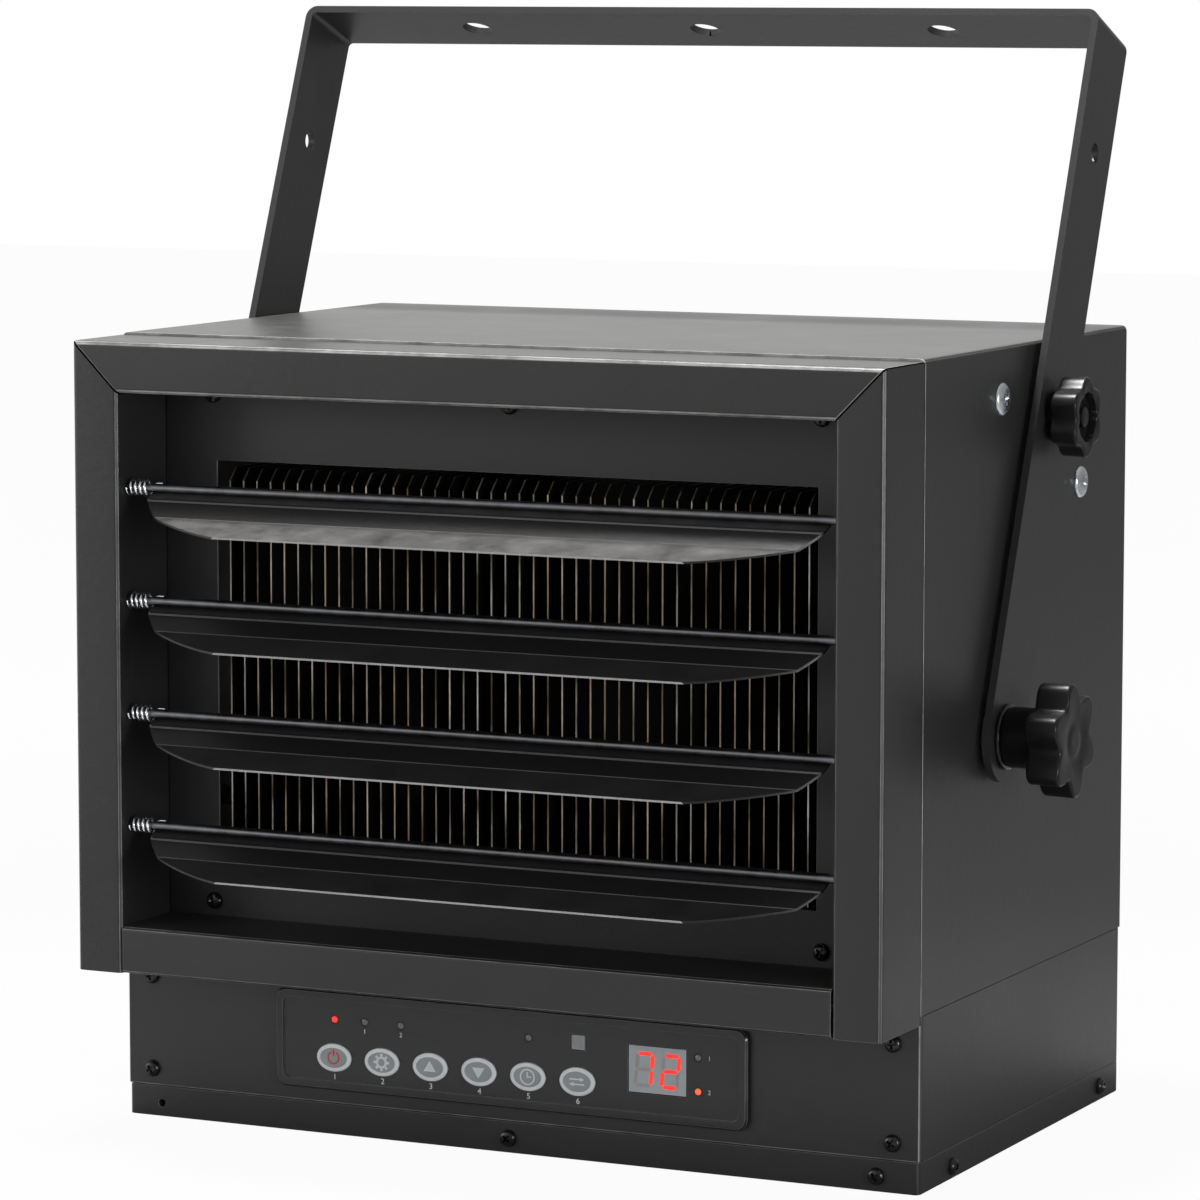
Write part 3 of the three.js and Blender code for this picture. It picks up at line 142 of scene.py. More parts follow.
def applied(piece):
    # the piece with its modifiers worked into its mesh
    graph = bpy.context.evaluated_depsgraph_get()
    mesh = bpy.data.meshes.new_from_object(piece.evaluated_get(graph))
    piece.modifiers.clear()
    piece.data = mesh
    return piece


def cutOut(piece, *tools):
    for tool in tools:
        change = piece.modifiers.new("cut", "BOOLEAN")
        change.operation, change.solver, change.object = "DIFFERENCE", "EXACT", tool
        applied(piece)
        bpy.data.objects.remove(tool)
    piece.data.shade_smooth()
    piece.data.set_sharp_from_angle(angle=math.radians(35))
    return piece


def softEdges(piece, width, angle=30):
    # rounds the edges off; where a piece has a second paint, a painted edge highlight, the rounded edges take
    # it
    bevel = piece.modifiers.new("edges", "BEVEL")
    bevel.width, bevel.segments, bevel.limit_method = width * mm, 2, "ANGLE"
    bevel.angle_limit = math.radians(angle)
    bevel.use_clamp_overlap = True
    bevel.material = len(piece.data.materials) - 1
    normals = piece.modifiers.new("normals", "WEIGHTED_NORMAL")
    normals.keep_sharp = False
    return piece


def moved(piece, spot, turn=None):
    matrix = Matrix.Translation(Vector(spot) * mm)
    piece.matrix_world = matrix @ turn.to_4x4() if turn else matrix
    return piece


def turnTo(direction):
    # turns a piece drawn along +Z so that it points along a direction
    return Vector((0, 0, 1)).rotation_difference(Vector(direction)).to_matrix()


def painted(piece, *materials):
    piece.data.materials.clear()
    for material in materials:
        piece.data.materials.append(material)
    return piece


def place(piece, body, slot, *materials):
    if materials:
        painted(piece, *materials)
    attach(piece, body)


# shader tools

def put(tree, kind, inputs=None, **settings):
    made = tree.nodes.new(kind)
    for name, value in settings.items():
        setattr(made, name, value)
    for name, value in (inputs or {}).items():
        if isinstance(value, bpy.types.NodeSocket):
            tree.links.new(value, made.inputs[name])
        else:
            made.inputs[name].default_value = value
    return made


def newGroup(name, inputs, outputs):
    group = bpy.data.node_groups.new(name, "ShaderNodeTree")
    for label, kind, value in inputs:
        group.interface.new_socket(label, in_out="INPUT", socket_type=kind).default_value = value
    for label, kind in outputs:
        group.interface.new_socket(label, in_out="OUTPUT", socket_type=kind)
    return group, group.nodes.new("NodeGroupInput").outputs, group.nodes.new("NodeGroupOutput")


def maths(tree, operation, a, b=0.0, clamp=False):
    made = put(tree, "ShaderNodeMath", {0: a, 1: b}, operation=operation)
    made.use_clamp = clamp
    return made.outputs[0]


def span(tree, value, low, high, newLow=0.0, newHigh=1.0):
    made = put(tree, "ShaderNodeMapRange", {
        "Value": value, "From Min": low, "From Max": high, "To Min": newLow, "To Max": newHigh,
    })
    return made.outputs["Result"]


def objectSpace(tree, stretch=(1, 1, 1)):
    coordinates = put(tree, "ShaderNodeTexCoord").outputs["Object"]
    return put(tree, "ShaderNodeMapping", {"Vector": coordinates, "Scale": stretch}).outputs[0]


def noise(tree, vector, scale, detail=3.0, roughness=0.55):
    return put(tree, "ShaderNodeTexNoise", {
        "Vector": vector, "Scale": scale, "Detail": detail, "Roughness": roughness,
    }).outputs["Fac"]


# shader groups

def powderCoatGroup():
    # orange peel and fine grain, with broad uneven patches
    group, inside, outside = newGroup(
        "powder coat",
        [("Grain", "NodeSocketFloat", 1500.0), ("Peel", "NodeSocketFloat", 260.0)],
        [("Height", "NodeSocketFloat"), ("Patches", "NodeSocketFloat"), ("Specks", "NodeSocketFloat")],
    )
    vector = objectSpace(group)
    grain = noise(group, vector, inside["Grain"], 2.0)
    peel = noise(group, vector, inside["Peel"], 1.0)
    height = maths(group, "ADD", maths(group, "MULTIPLY", peel, 1.6), grain)
    group.links.new(height, outside.inputs["Height"])
    group.links.new(noise(group, vector, 11.0, 5.0, 0.6), outside.inputs["Patches"])
    specks = span(group, noise(group, vector, 900.0, 1.0), 0.62, 0.74)
    group.links.new(specks, outside.inputs["Specks"])
    return group


def edgeWearAndHighlightGroup():
    # marks rubbed edges and paints a highlight along them, broken up by noise
    group, inside, outside = newGroup(
        "edge wear",
        [("Width", "NodeSocketFloat", 0.0012), ("Break Up", "NodeSocketFloat", 60.0)],
        [("Mask", "NodeSocketFloat")],
    )
    bevel = put(group, "ShaderNodeBevel", {"Radius": inside["Width"]}, samples=4)
    normal = put(group, "ShaderNodeNewGeometry").outputs["Normal"]
    together = put(group, "ShaderNodeVectorMath", {0: bevel.outputs[0], 1: normal}, operation="DOT_PRODUCT")
    edge = span(group, together.outputs["Value"], 0.995, 0.86)
    wornAndLit = span(group, noise(group, objectSpace(group), inside["Break Up"], 4.0, 0.65), 0.4, 0.6, 0.45, 1.0)
    group.links.new(maths(group, "MULTIPLY", edge, wornAndLit, True), outside.inputs["Mask"])
    return group


def dustAndSheenGroup():
    # thin dust on what faces up; where much of it is asked for, as on the top louvre, it is a painted sheen
    group, inside, outside = newGroup(
        "dustAndSheen", [("Amount", "NodeSocketFloat", 0.3)], [("Mask", "NodeSocketFloat")],
    )
    normal = put(group, "ShaderNodeNewGeometry").outputs["Normal"]
    up = put(group, "ShaderNodeSeparateXYZ", {0: normal}).outputs["Z"]
    facing = span(group, up, 0.88, 0.975)
    cloud = span(group, noise(group, objectSpace(group), 60.0, 6.0, 0.75), 0.2, 0.75)
    settled = maths(group, "MULTIPLY", facing, cloud)
    group.links.new(maths(group, "MULTIPLY", settled, inside["Amount"], True), outside.inputs["Mask"])
    return group


def scuffGroup():
    # a few fine rub marks
    group, inside, outside = newGroup(
        "scuffs", [("Amount", "NodeSocketFloat", 0.5)], [("Mask", "NodeSocketFloat")],
    )
    long = noise(group, objectSpace(group, (0.06, 0.5, 1)), 340.0, 2.0, 0.5)
    cross = noise(group, objectSpace(group, (1, 0.5, 0.08)), 290.0, 2.0, 0.5)
    lines = maths(group, "MAXIMUM", span(group, long, 0.7, 0.76), span(group, cross, 0.71, 0.77))
    where = span(group, noise(group, objectSpace(group), 14.0, 3.0), 0.5, 0.7)
    marks = maths(group, "MULTIPLY", lines, where)
    group.links.new(maths(group, "MULTIPLY", marks, inside["Amount"], True), outside.inputs["Mask"])
    return group


def streaksGroup():
    # drawn or rolled metal: fine lines one way, cloudy plating
    group, inside, outside = newGroup(
        "streaks",
        [("Fineness", "NodeSocketFloat", 900.0), ("Direction", "NodeSocketVector", (1, 1, 0.04))],
        [("Height", "NodeSocketFloat"), ("Cloud", "NodeSocketFloat")],
    )
    coordinates = put(group, "ShaderNodeTexCoord").outputs["Object"]
    along = put(group, "ShaderNodeVectorMath", {0: coordinates, 1: inside["Direction"]}, operation="MULTIPLY")
    lines = noise(group, along.outputs[0], inside["Fineness"], 3.0, 0.6)
    group.links.new(lines, outside.inputs["Height"])
    group.links.new(noise(group, coordinates, 120.0, 4.0, 0.6), outside.inputs["Cloud"])
    return group


def mouldSkinGroup():
    # spark-eroded skin of a plastic moulding
    group, inside, outside = newGroup(
        "mould skin",
        [("Fineness", "NodeSocketFloat", 2200.0)],
        [("Height", "NodeSocketFloat"), ("Cloud", "NodeSocketFloat")],
    )
    coordinates = put(group, "ShaderNodeTexCoord").outputs["Object"]
    cells = put(group, "ShaderNodeTexVoronoi", {"Vector": coordinates, "Scale": inside["Fineness"]})
    fine = noise(group, coordinates, inside["Fineness"], 2.0)
    group.links.new(maths(group, "ADD", cells.outputs["Distance"], fine), outside.inputs["Height"])
    group.links.new(noise(group, coordinates, 70.0, 4.0, 0.6), outside.inputs["Cloud"])
    return group


groups = {
    "powderCoat": powderCoatGroup(), "edgeWearAndHighlight": edgeWearAndHighlightGroup(), "dustAndSheen": dustAndSheenGroup(),
    "scuffs": scuffGroup(), "streaks": streaksGroup(), "mouldSkin": mouldSkinGroup(),
}


def use(tree, name, **values):
    made = put(tree, "ShaderNodeGroup", node_tree=groups[name])
    for label, value in values.items():
        made.inputs[label.replace("_", " ")].default_value = value
    return made.outputs


def mixColour(tree, factor, a, b):
    made = put(tree, "ShaderNodeMix", data_type="RGBA")
    for index, value in ((0, factor), (6, a), (7, b)):
        if isinstance(value, bpy.types.NodeSocket):
            tree.links.new(value, made.inputs[index])
        else:
            made.inputs[index].default_value = value
    return made.outputs[2]


def shade(colour, factor):
    return (colour[0] * factor, colour[1] * factor, colour[2] * factor, 1)


def newMaterial(name, **sockets):
    material = bpy.data.materials.new(name)
    material.use_nodes = True
    tree = material.node_tree
    shader = tree.nodes["Principled BSDF"]
    for label, value in sockets.items():
        shader.inputs[label.replace("_", " ")].default_value = value
    return material, tree, shader.inputs


def bumpInto(tree, sockets, height, strength, distance):
    bump = put(tree, "ShaderNodeBump", {"Height": height, "Strength": strength, "Distance": distance})
    tree.links.new(bump.outputs[0], sockets["Normal"])


# materials

coatColour = (0.0165, 0.0175, 0.0165)
# painted highlight colour for rounded edges and folds
edgeHighlightColour = (0.30, 0.30, 0.295, 1)
dustAndSheenColour = (0.215, 0.211, 0.202, 1)
frameCorner = {  # in metres, as shaders see places
    "half": 0.1753, "top": 0.3204, "front": -0.1105, "joint": 0.0007,
    # the first span is a painted shadow line behind the frame, the second a painted highlight on the
    # cabinet's front edge
    "backShadow": (-0.1107, -0.1111), "cabinetHighlight": (-0.1092, -0.1089),
}


def seamMask(tree, start, end):
    # fades from one at start to nothing at end, along Y, for the painted shadow and painted highlight at the
    # seam round the frame's back
    at = put(tree, "ShaderNodeSeparateXYZ", {0: objectSpace(tree)}).outputs
    return span(tree, at["Y"], end, start)


def jointShadeMask(tree):
    # painted shade in the open joints at the frame's two upper corners and in the seam behind the frame
    at = put(tree, "ShaderNodeSeparateXYZ", {0: objectSpace(tree)}).outputs
    across = maths(tree, "SUBTRACT", frameCorner["half"], maths(tree, "ABSOLUTE", at["X"]))
    down = maths(tree, "SUBTRACT", frameCorner["top"], at["Z"])
    off = maths(tree, "ABSOLUTE", maths(tree, "SUBTRACT", across, down))
    joint = span(tree, off, frameCorner["joint"], 0.6 * frameCorner["joint"])
    ahead = maths(tree, "LESS_THAN", at["Y"], frameCorner["front"])
    seam = seamMask(tree, *frameCorner["backShadow"])
    return maths(tree, "MAXIMUM", maths(tree, "MULTIPLY", joint, ahead), seam)


def coatMaterial(name, colour=coatColour, rough=0.38, dustAndSheen=0.08, highlight=0.0, highlightColour=edgeHighlightColour, shadedJoints=False,
                 seamHighlight=False):
    # powder coat with patches, specks, rub marks and dust, with painted light where it is asked for: sheen on
    # upward faces, highlights on edges and the cabinet's front edge, shade in the frame's joints
    material, tree, sockets = newMaterial(name)
    coat = use(tree, "powderCoat")
    wornAndLit = span(tree, noise(tree, objectSpace(tree), 70.0, 4.0, 0.65), 0.36, 0.6, 0.5, 1.0)
    rub = use(tree, "scuffs", Amount=0.35)["Mask"]
    dustAndSheenMask = use(tree, "dustAndSheen", Amount=dustAndSheen)["Mask"]
    paint = mixColour(tree, span(tree, coat["Patches"], 0.3, 0.7), shade(colour, 0.9), shade(colour, 1.12))
    paint = mixColour(tree, maths(tree, "MULTIPLY", coat["Specks"], 0.25), paint, shade(colour, 1.8))
    # painted highlight on edges and bends, broken up by noise
    paint = mixColour(tree, maths(tree, "MULTIPLY", wornAndLit, highlight), paint, highlightColour)
    paint = mixColour(tree, rub, paint, shade(colour, 2.4))
    # dust on upward faces; on the top louvre a painted sheen
    paint = mixColour(tree, dustAndSheenMask, paint, dustAndSheenColour)
    # painted highlight along the cabinet's front edge, at the seam behind the frame
    if seamHighlight:
        rim = maths(tree, "MULTIPLY", seamMask(tree, *frameCorner["cabinetHighlight"]), wornAndLit)
        paint = mixColour(tree, rim, paint, highlightColour)
    # painted shade, with no shine, in the frame's open corner joints and the seam behind it
    if shadedJoints:
        joint = jointShadeMask(tree)
        paint = mixColour(tree, joint, paint, (0.002, 0.002, 0.002, 1))
        sheen = maths(tree, "MULTIPLY", maths(tree, "SUBTRACT", 1.0, joint), 0.5)
        tree.links.new(sheen, sockets["Specular IOR Level"])
    tree.links.new(paint, sockets["Base Color"])
    gloss = span(tree, coat["Patches"], 0.3, 0.7, rough - 0.02, rough + 0.03)
    low = put(tree, "ShaderNodeLayerWeight", {"Blend": 0.5}).outputs["Facing"]
    gloss = maths(tree, "MULTIPLY", gloss, span(tree, low, 0.8, 0.95, 1.0, 0.95))
    gloss = maths(tree, "ADD", gloss, maths(tree, "MULTIPLY", dustAndSheenMask, 0.15))
    tree.links.new(maths(tree, "SUBTRACT", gloss, 0.1 * highlight, True), sockets["Roughness"])
    bumpInto(tree, sockets, coat["Height"], 0.22, 0.00018)
    return material


def zincMaterial(name, colour=(0.70, 0.73, 0.76), rough=0.26, direction=(1, 1, 0.05)):
    material, tree, sockets = newMaterial(name, Metallic=1.0)
    lines = use(tree, "streaks", Direction=direction)
    wornAndLit = use(tree, "edgeWearAndHighlight", Width=0.0005)["Mask"]
    cloud = span(tree, lines["Cloud"], 0.35, 0.65)
    bluish = (colour[0] * 0.98, colour[1], colour[2] * 1.05)
    plate = mixColour(tree, cloud, shade(colour, 0.82), shade(bluish, 1.05))
    # edges lightened: rubbed, and a painted highlight
    plate = mixColour(tree, maths(tree, "MULTIPLY", wornAndLit, 0.4), plate, shade(colour, 1.2))
    tree.links.new(plate, sockets["Base Color"])
    tree.links.new(span(tree, lines["Cloud"], 0.3, 0.7, rough - 0.06, rough + 0.14), sockets["Roughness"])
    bumpInto(tree, sockets, lines["Height"], 0.15, 0.00008)
    return material


finPitch = 0.0062  # in metres


def finMaterial():
    # fins with near-black sides, partly oxide and partly painted shade between the close-set fins, and bare
    # cut edges, each fin tinted its own way by heat
    material, tree, sockets = newMaterial("element fins", Metallic=0.9)
    lines = use(tree, "streaks", Direction=(1, 1, 0.03), Fineness=700.0)
    at = put(tree, "ShaderNodeSeparateXYZ", {0: objectSpace(tree)}).outputs
    finNumber = maths(tree, "FLOOR", maths(tree, "ADD", maths(tree, "DIVIDE", at["X"], finPitch), 0.5))
    tint = put(tree, "ShaderNodeTexWhiteNoise", {"W": finNumber}, noise_dimensions="1D").outputs["Value"]
    cut = mixColour(tree, span(tree, tint, 0.2, 0.8), (0.66, 0.65, 0.62, 1), (0.46, 0.34, 0.2, 1))
    patchy = noise(tree, objectSpace(tree, (1, 1, 0.2)), 160.0, 4.0)
    cut = mixColour(tree, span(tree, patchy, 0.3, 0.62), cut, (0.07, 0.055, 0.04, 1))
    cloud = span(tree, lines["Cloud"], 0.35, 0.65)
    # near-black sides: oxide, and painted shade between the fins
    side = mixColour(tree, cloud, (0.012, 0.011, 0.010, 1), (0.03, 0.025, 0.02, 1))
    normal = put(tree, "ShaderNodeNewGeometry").outputs["True Normal"]
    across = maths(tree, "ABSOLUTE", put(tree, "ShaderNodeSeparateXYZ", {0: normal}).outputs["X"])
    steel = mixColour(tree, span(tree, across, 0.45, 0.9), cut, side)
    tree.links.new(steel, sockets["Base Color"])
    tree.links.new(span(tree, lines["Cloud"], 0.3, 0.7, 0.36, 0.55), sockets["Roughness"])
    bumpInto(tree, sockets, lines["Height"], 0.2, 0.0001)
    return material


def plasticMaterial(name, colour, rough, grain=0.1, specular=0.5, fineness=2200.0, spread=0.12):
    material, tree, sockets = newMaterial(name, Specular_IOR_Level=specular)
    skin = use(tree, "mouldSkin", Fineness=fineness)
    wornAndLit = use(tree, "edgeWearAndHighlight", Width=0.0006)["Mask"]
    dustAndSheenMask = use(tree, "dustAndSheen", Amount=0.12)["Mask"]
    cloud = span(tree, skin["Cloud"], 0.3, 0.7)
    body = mixColour(tree, cloud, shade(colour, 1 - spread), shade(colour, 1 + spread))
    # edges lightened: rubbed, and a painted highlight
    body = mixColour(tree, maths(tree, "MULTIPLY", wornAndLit, 0.35), body, shade(colour, 1.9))
    body = mixColour(tree, dustAndSheenMask, body, (0.2, 0.2, 0.19, 1))
    tree.links.new(body, sockets["Base Color"])
    tree.links.new(span(tree, skin["Cloud"], 0.3, 0.7, rough - 0.05, rough + 0.07), sockets["Roughness"])
    bumpInto(tree, sockets, skin["Height"], grain, 0.00006)
    return material


def litMaterial(name, colour, strength):
    material, tree, sockets = newMaterial(name, Roughness=0.35, Emission_Strength=strength)
    cloud = use(tree, "mouldSkin", Fineness=900.0)["Cloud"]
    glow = mixColour(tree, span(tree, cloud, 0.3, 0.7), shade(colour, 0.92), shade(colour, 1.0))
    tree.links.new(glow, sockets["Base Color"])
    tree.links.new(glow, sockets["Emission Color"])
    return material


def circuitMaterial():
    # solder mask with copper traces under it
    material, tree, sockets = newMaterial("circuit board", Roughness=0.35)
    traces = put(tree, "ShaderNodeTexBrick", {
        "Vector": objectSpace(tree), "Scale": 90.0, "Color1": (0.012, 0.10, 0.045, 1),
        "Color2": (0.016, 0.13, 0.06, 1), "Mortar": (0.03, 0.20, 0.09, 1), "Mortar Size": 0.012,
    })
    tree.links.new(traces.outputs["Color"], sockets["Base Color"])
    bumpInto(tree, sockets, traces.outputs["Fac"], 0.3, 0.0001)
    return material


paints = {
    "coat": coatMaterial("charcoal coat"),
    # painted highlight for the coat's rounded edges and folds
    "coatEdgeHighlight": coatMaterial("folded edge highlight", highlight=1.0),
    "wrapCoat": coatMaterial("cabinet coat", dustAndSheen=0.22, highlightColour=(0.5, 0.5, 0.49, 1), seamHighlight=True),
    "frameCoat": coatMaterial("frame coat", dustAndSheen=0.22, shadedJoints=True),
    "frameEdgeHighlight": coatMaterial("frame edge highlight", highlight=1.0, shadedJoints=True),
    # the top louvre's coat is a lit copy of the louvre coat, whose heavy dust setting paints a sheen on its
    # upward faces
    "louvreTopSheen": coatMaterial("top louvre coat with painted sheen", (0.0095, 0.0095, 0.01), 0.34, 0.6),
    # the louvres' coat is darker than the cabinet's: painted shade of the recess they sit in
    "louvre": coatMaterial("louvre coat", (0.0085, 0.0085, 0.009), 0.36, 0.12),
    # painted highlights on the louvres' bends and front edge
    "louvreBendHighlight": coatMaterial("louvre bend highlight", (0.085, 0.085, 0.088), 0.28, 0.0, 0.3),
    "louvreEdgeHighlight": coatMaterial("louvre edge highlight", (0.32, 0.32, 0.325), 0.25, 0.0, 0.4, (0.5, 0.5, 0.5, 1)),
    "spring": zincMaterial("spring steel", (0.95, 0.97, 1.0), 0.16),
    "rod": zincMaterial("blackened rod", (0.17, 0.17, 0.175), 0.3, (0.05, 1, 1)),
    "inner": coatMaterial("inner coat", (0.0105, 0.011, 0.0105), 0.45, 0.04),
    "innerEdgeHighlight": coatMaterial("inner edge highlight", (0.013, 0.0135, 0.013), 0.4, 0.0, 0.3),
    "guard": coatMaterial("guard coat", (0.012, 0.012, 0.012), 0.35, 0.1),
    "screwBlack": coatMaterial("black screw", (0.006, 0.006, 0.0065), 0.22, 0.0),
    "zinc": zincMaterial("bright zinc", (0.80, 0.83, 0.86), 0.22),
    "plate": zincMaterial("zinc plate", (0.5, 0.51, 0.52), 0.38),
    "fanMetal": zincMaterial("pressed fan", (0.55, 0.56, 0.57), 0.36, (0.05, 1, 1)),
    "fins": finMaterial(),
    "heatedZinc": zincMaterial("heated zinc", (0.10, 0.085, 0.07), 0.45),
    "motor": coatMaterial("motor enamel", (0.045, 0.046, 0.05), 0.4, 0.15),
    "knob": plasticMaterial("knob moulding", (0.0065, 0.0065, 0.007), 0.34, 0.05, 0.28),
    "fascia": plasticMaterial("fascia moulding", (0.017, 0.0172, 0.0185), 0.2, 0.06, 0.5, 1600.0),
    # painted highlight along the fascia's rounded edges
    "fasciaEdgeHighlight": plasticMaterial("fascia edge highlight", (0.13, 0.13, 0.133), 0.25, 0.04),
    "keyGrey": plasticMaterial("key rubber", (0.30, 0.33, 0.35), 0.45, 0.1),
    "keyWhite": plasticMaterial("key ring print", (0.74, 0.76, 0.77), 0.4, 0.03, 0.5, 1800.0, 0.04),
    "print": plasticMaterial("white print", (0.66, 0.68, 0.69), 0.4, 0.03, 0.5, 1800.0, 0.05),
    "signRed": plasticMaterial("red print", (0.62, 0.03, 0.03), 0.4, 0.03, 0.5, 1800.0, 0.06),
    "display": plasticMaterial("display window", (0.40, 0.43, 0.45), 0.18, 0.02, 0.5, 1200.0, 0.05),
    "segmentOff": plasticMaterial("dark segment", (0.33, 0.32, 0.33), 0.3, 0.02, 0.5, 1200.0, 0.05),
    "lens": plasticMaterial("receiver window", (0.30, 0.31, 0.32), 0.3, 0.3, 0.5, 500.0),
    "lampOff": plasticMaterial("lamp lens", (0.16, 0.165, 0.17), 0.2, 0.02, 0.5, 900.0),
    "segmentRed": litMaterial("lit segment", (0.95, 0.03, 0.02), 0.9),
    "lampRed": litMaterial("lit lamp", (0.9, 0.04, 0.03), 0.8),
    "lampAmber": litMaterial("lit unit lamp", (0.85, 0.14, 0.06), 0.7),
    "circuit": circuitMaterial(),
    "relay": plasticMaterial("relay case", (0.02, 0.022, 0.03), 0.35, 0.08),
    "winding": zincMaterial("winding tape", (0.42, 0.24, 0.12), 0.45),
    "phenolic": plasticMaterial("brown moulding", (0.03, 0.022, 0.016), 0.4, 0.15),
}
print("materials made:", len(paints))


# CAD pieces that stay: paint and softened edges

cadFinish = {
    # slot: edge rounding in millimetres, paint, painted edge highlight
    "coat": (0.45, "coat", "coatEdgeHighlight"), "inner_coat": (0.3, "inner", "innerEdgeHighlight"),
    "guard": (0.1, "guard"), "zinc": (0.2, "plate"), "fin": (0.1, "fins"),
    "fan_metal": (0.2, "fanMetal"), "motor": (0.6, "motor"), "knob": (0.5, "knob"),
    "fascia": (0.3, "fascia", "fasciaEdgeHighlight"), "keys": (0.2, "keyGrey"), "display": (0.2, "display"),
    "lens": (0.2, "lens"), "circuit": (0.1, "circuit"), "relay": (0.3, "relay"),
    "winding": (0.3, "winding"), "phenolic": (0.3, "phenolic"),
}
ownFinish = {
    # pieces whose paint isn't their slot's
    "cabinet_wrap": ("wrapCoat", "coatEdgeHighlight"), "frame_left_rail": ("frameCoat", "frameEdgeHighlight"),
    "frame_right_rail": ("frameCoat", "frameEdgeHighlight"), "frame_top_rail": ("frameCoat", "frameEdgeHighlight"),
    "element_plate_left": ("heatedZinc",), "element_plate_right": ("heatedZinc",),
}
slots = {row["node"]: row["material_slot"] for row in frame["record"]["subparts"]}
for name, node in frame["nodes"].items():
    width, *finish = cadFinish[slots[name]]
    painted(node, *(paints[paint] for paint in ownFinish.get(name, finish)))
    if "custom_normal" in node.data.attributes:
        node.data.attributes.remove(node.data.attributes["custom_normal"])
    node.data.shade_smooth()
    weld = node.modifiers.new("weld", "WELD")
    weld.merge_threshold = 0.01 * mm
    softEdges(node, width, 28)
print("cabinet dressed")


# louvres: hooked blade, rod and spring

louvres = {
    "count": 4, "top": 262.0, "bottom": 126.0, "y": -141.0,
    "left": -143.5, "right": 149.6, "frameInner": 154.8, "rod": 1.6, "rodBite": 2.6, "sheet": 0.8,
    "hookRadius": 1.8, "hookTop": 40, "hookEnd": -66, "hookSteps": 20,
    "corners": [(-5.0, -5.1), (-12.0, -11.1), (-32.5, -15.4)], "bendRadius": 0.5,
    "cornerRun": 46, "cornerFlat": 4, "cornerPower": 1.25, "across": 72,
    "springTurns": 4.5, "springRadius": 3.0, "springWire": 1.0, "springHook": 1.6, "springTail": 2.4,
    "springRoom": 0.8,
}


def bladeSection(o):
    # points of the sheet's under face with the way to its upper face: a hook that holds the rod
    # from below and behind, then three flat bands
    outer, spots = o["hookRadius"] + o["sheet"], [Vector(corner) for corner in o["corners"]]
    top, swing, steps = o["hookTop"], o["hookEnd"] - o["hookTop"], o["hookSteps"]
    hook = [math.radians(top + swing * i / steps) for i in range(steps + 1)]
    line = [(Vector((math.cos(t), math.sin(t))) * outer, -Vector((math.cos(t), math.sin(t)))) for t in hook]
    start = line[-1][0]
    for i, corner in enumerate(spots):
        run, length = (corner - start).normalized(), (corner - start).length
        up = Vector((run.y, -run.x))
        first = o["bendRadius"]
        last = length if i == len(spots) - 1 else length - o["bendRadius"]
        steps = max(2, round(length / 2))
        for k in range(steps + 1):
            line.append((start + run * (first + (last - first) * k / steps), up))
        start = corner
    return line


def isBend(section, k, o):
    # whether the sheet turns by more than 2 degrees at this point, past the hook
    turn = math.degrees(section[max(k - 1, 0)][1].angle(section[k][1]))
    return k > o["hookSteps"] + 1 and turn > 2


def blade(name, o, coat):
    section = bladeSection(o)
    reach = -min((p + up * o["sheet"]).x for p, up in section)
    depth = reach - o["cornerFlat"]

    def row(point):
        # left and right end of the blade at this distance from the rod
        share = min(1.0, max(0.0, (-point.x - o["cornerFlat"]) / depth))
        inset = o["cornerRun"] * (1 - max(0.0, 1 - share ** o["cornerPower"]) ** (1 / o["cornerPower"]))
        return o["left"] + inset, o["right"] - inset

    edge = [p for p, up in section] + [p + up * o["sheet"] for p, up in reversed(section)]
    rings = []
    for k in range(o["across"] + 1):
        u = 0.5 - 0.5 * math.cos(math.pi * k / o["across"])
        ring = []
        for point in edge:
            low, high = row(point)
            ring.append((low + (high - low) * u, point.x, point.y))
        rings.append(ring)
    # both ends are closed with strips across the sheet
    count = len(section)
    points, faces = joinRings(rings)
    last = o["across"] * 2 * count
    for j in range(count - 1):
        other = 2 * count - 1 - j
        faces.append((j, j + 1, other - 1, other))
        faces.append((last + other, last + other - 1, last + j + 1, last + j))
    piece = painted(addMesh(name, points, faces, 12), coat, paints["louvreBendHighlight"], paints["louvreEdgeHighlight"])
    # painted highlight on the bends and along the front edge
    bends = [count + k for k in range(count - 1) if isBend(section, count - 1 - k, o)]
    for face in piece.data.polygons:
        low, high = min(face.vertices) % (2 * count), max(face.vertices) % (2 * count)
        if high - low == 1:
            face.material_index = 1 if low in bends else 2 if low == count - 1 else 0
    return piece


def springPath(o):
    start = -o["frameInner"] + o["springRoom"]
    end = o["left"] - o["springRoom"]
    steps = round(28 * o["springTurns"])
    line = []
    for i in range(steps + 1):
        turn = 2 * math.pi * o["springTurns"] * (i / steps - 1)
        x = start + (end - start) * i / steps
        line.append((x, o["springRadius"] * math.cos(turn), o["springRadius"] * math.sin(turn)))
    # the last curl ends in a short hook over the rod's end
    x, y, z = line[-1]
    r = o["springHook"]
    turns = [math.radians(90 * k / 6) for k in range(1, 7)]
    bend = [(x + r * (1 - math.cos(t)), y, z + r * math.sin(t)) for t in turns]
    return line + bend + [(x + r + o["springTail"] * k / 3, y, z + r) for k in range(1, 4)]


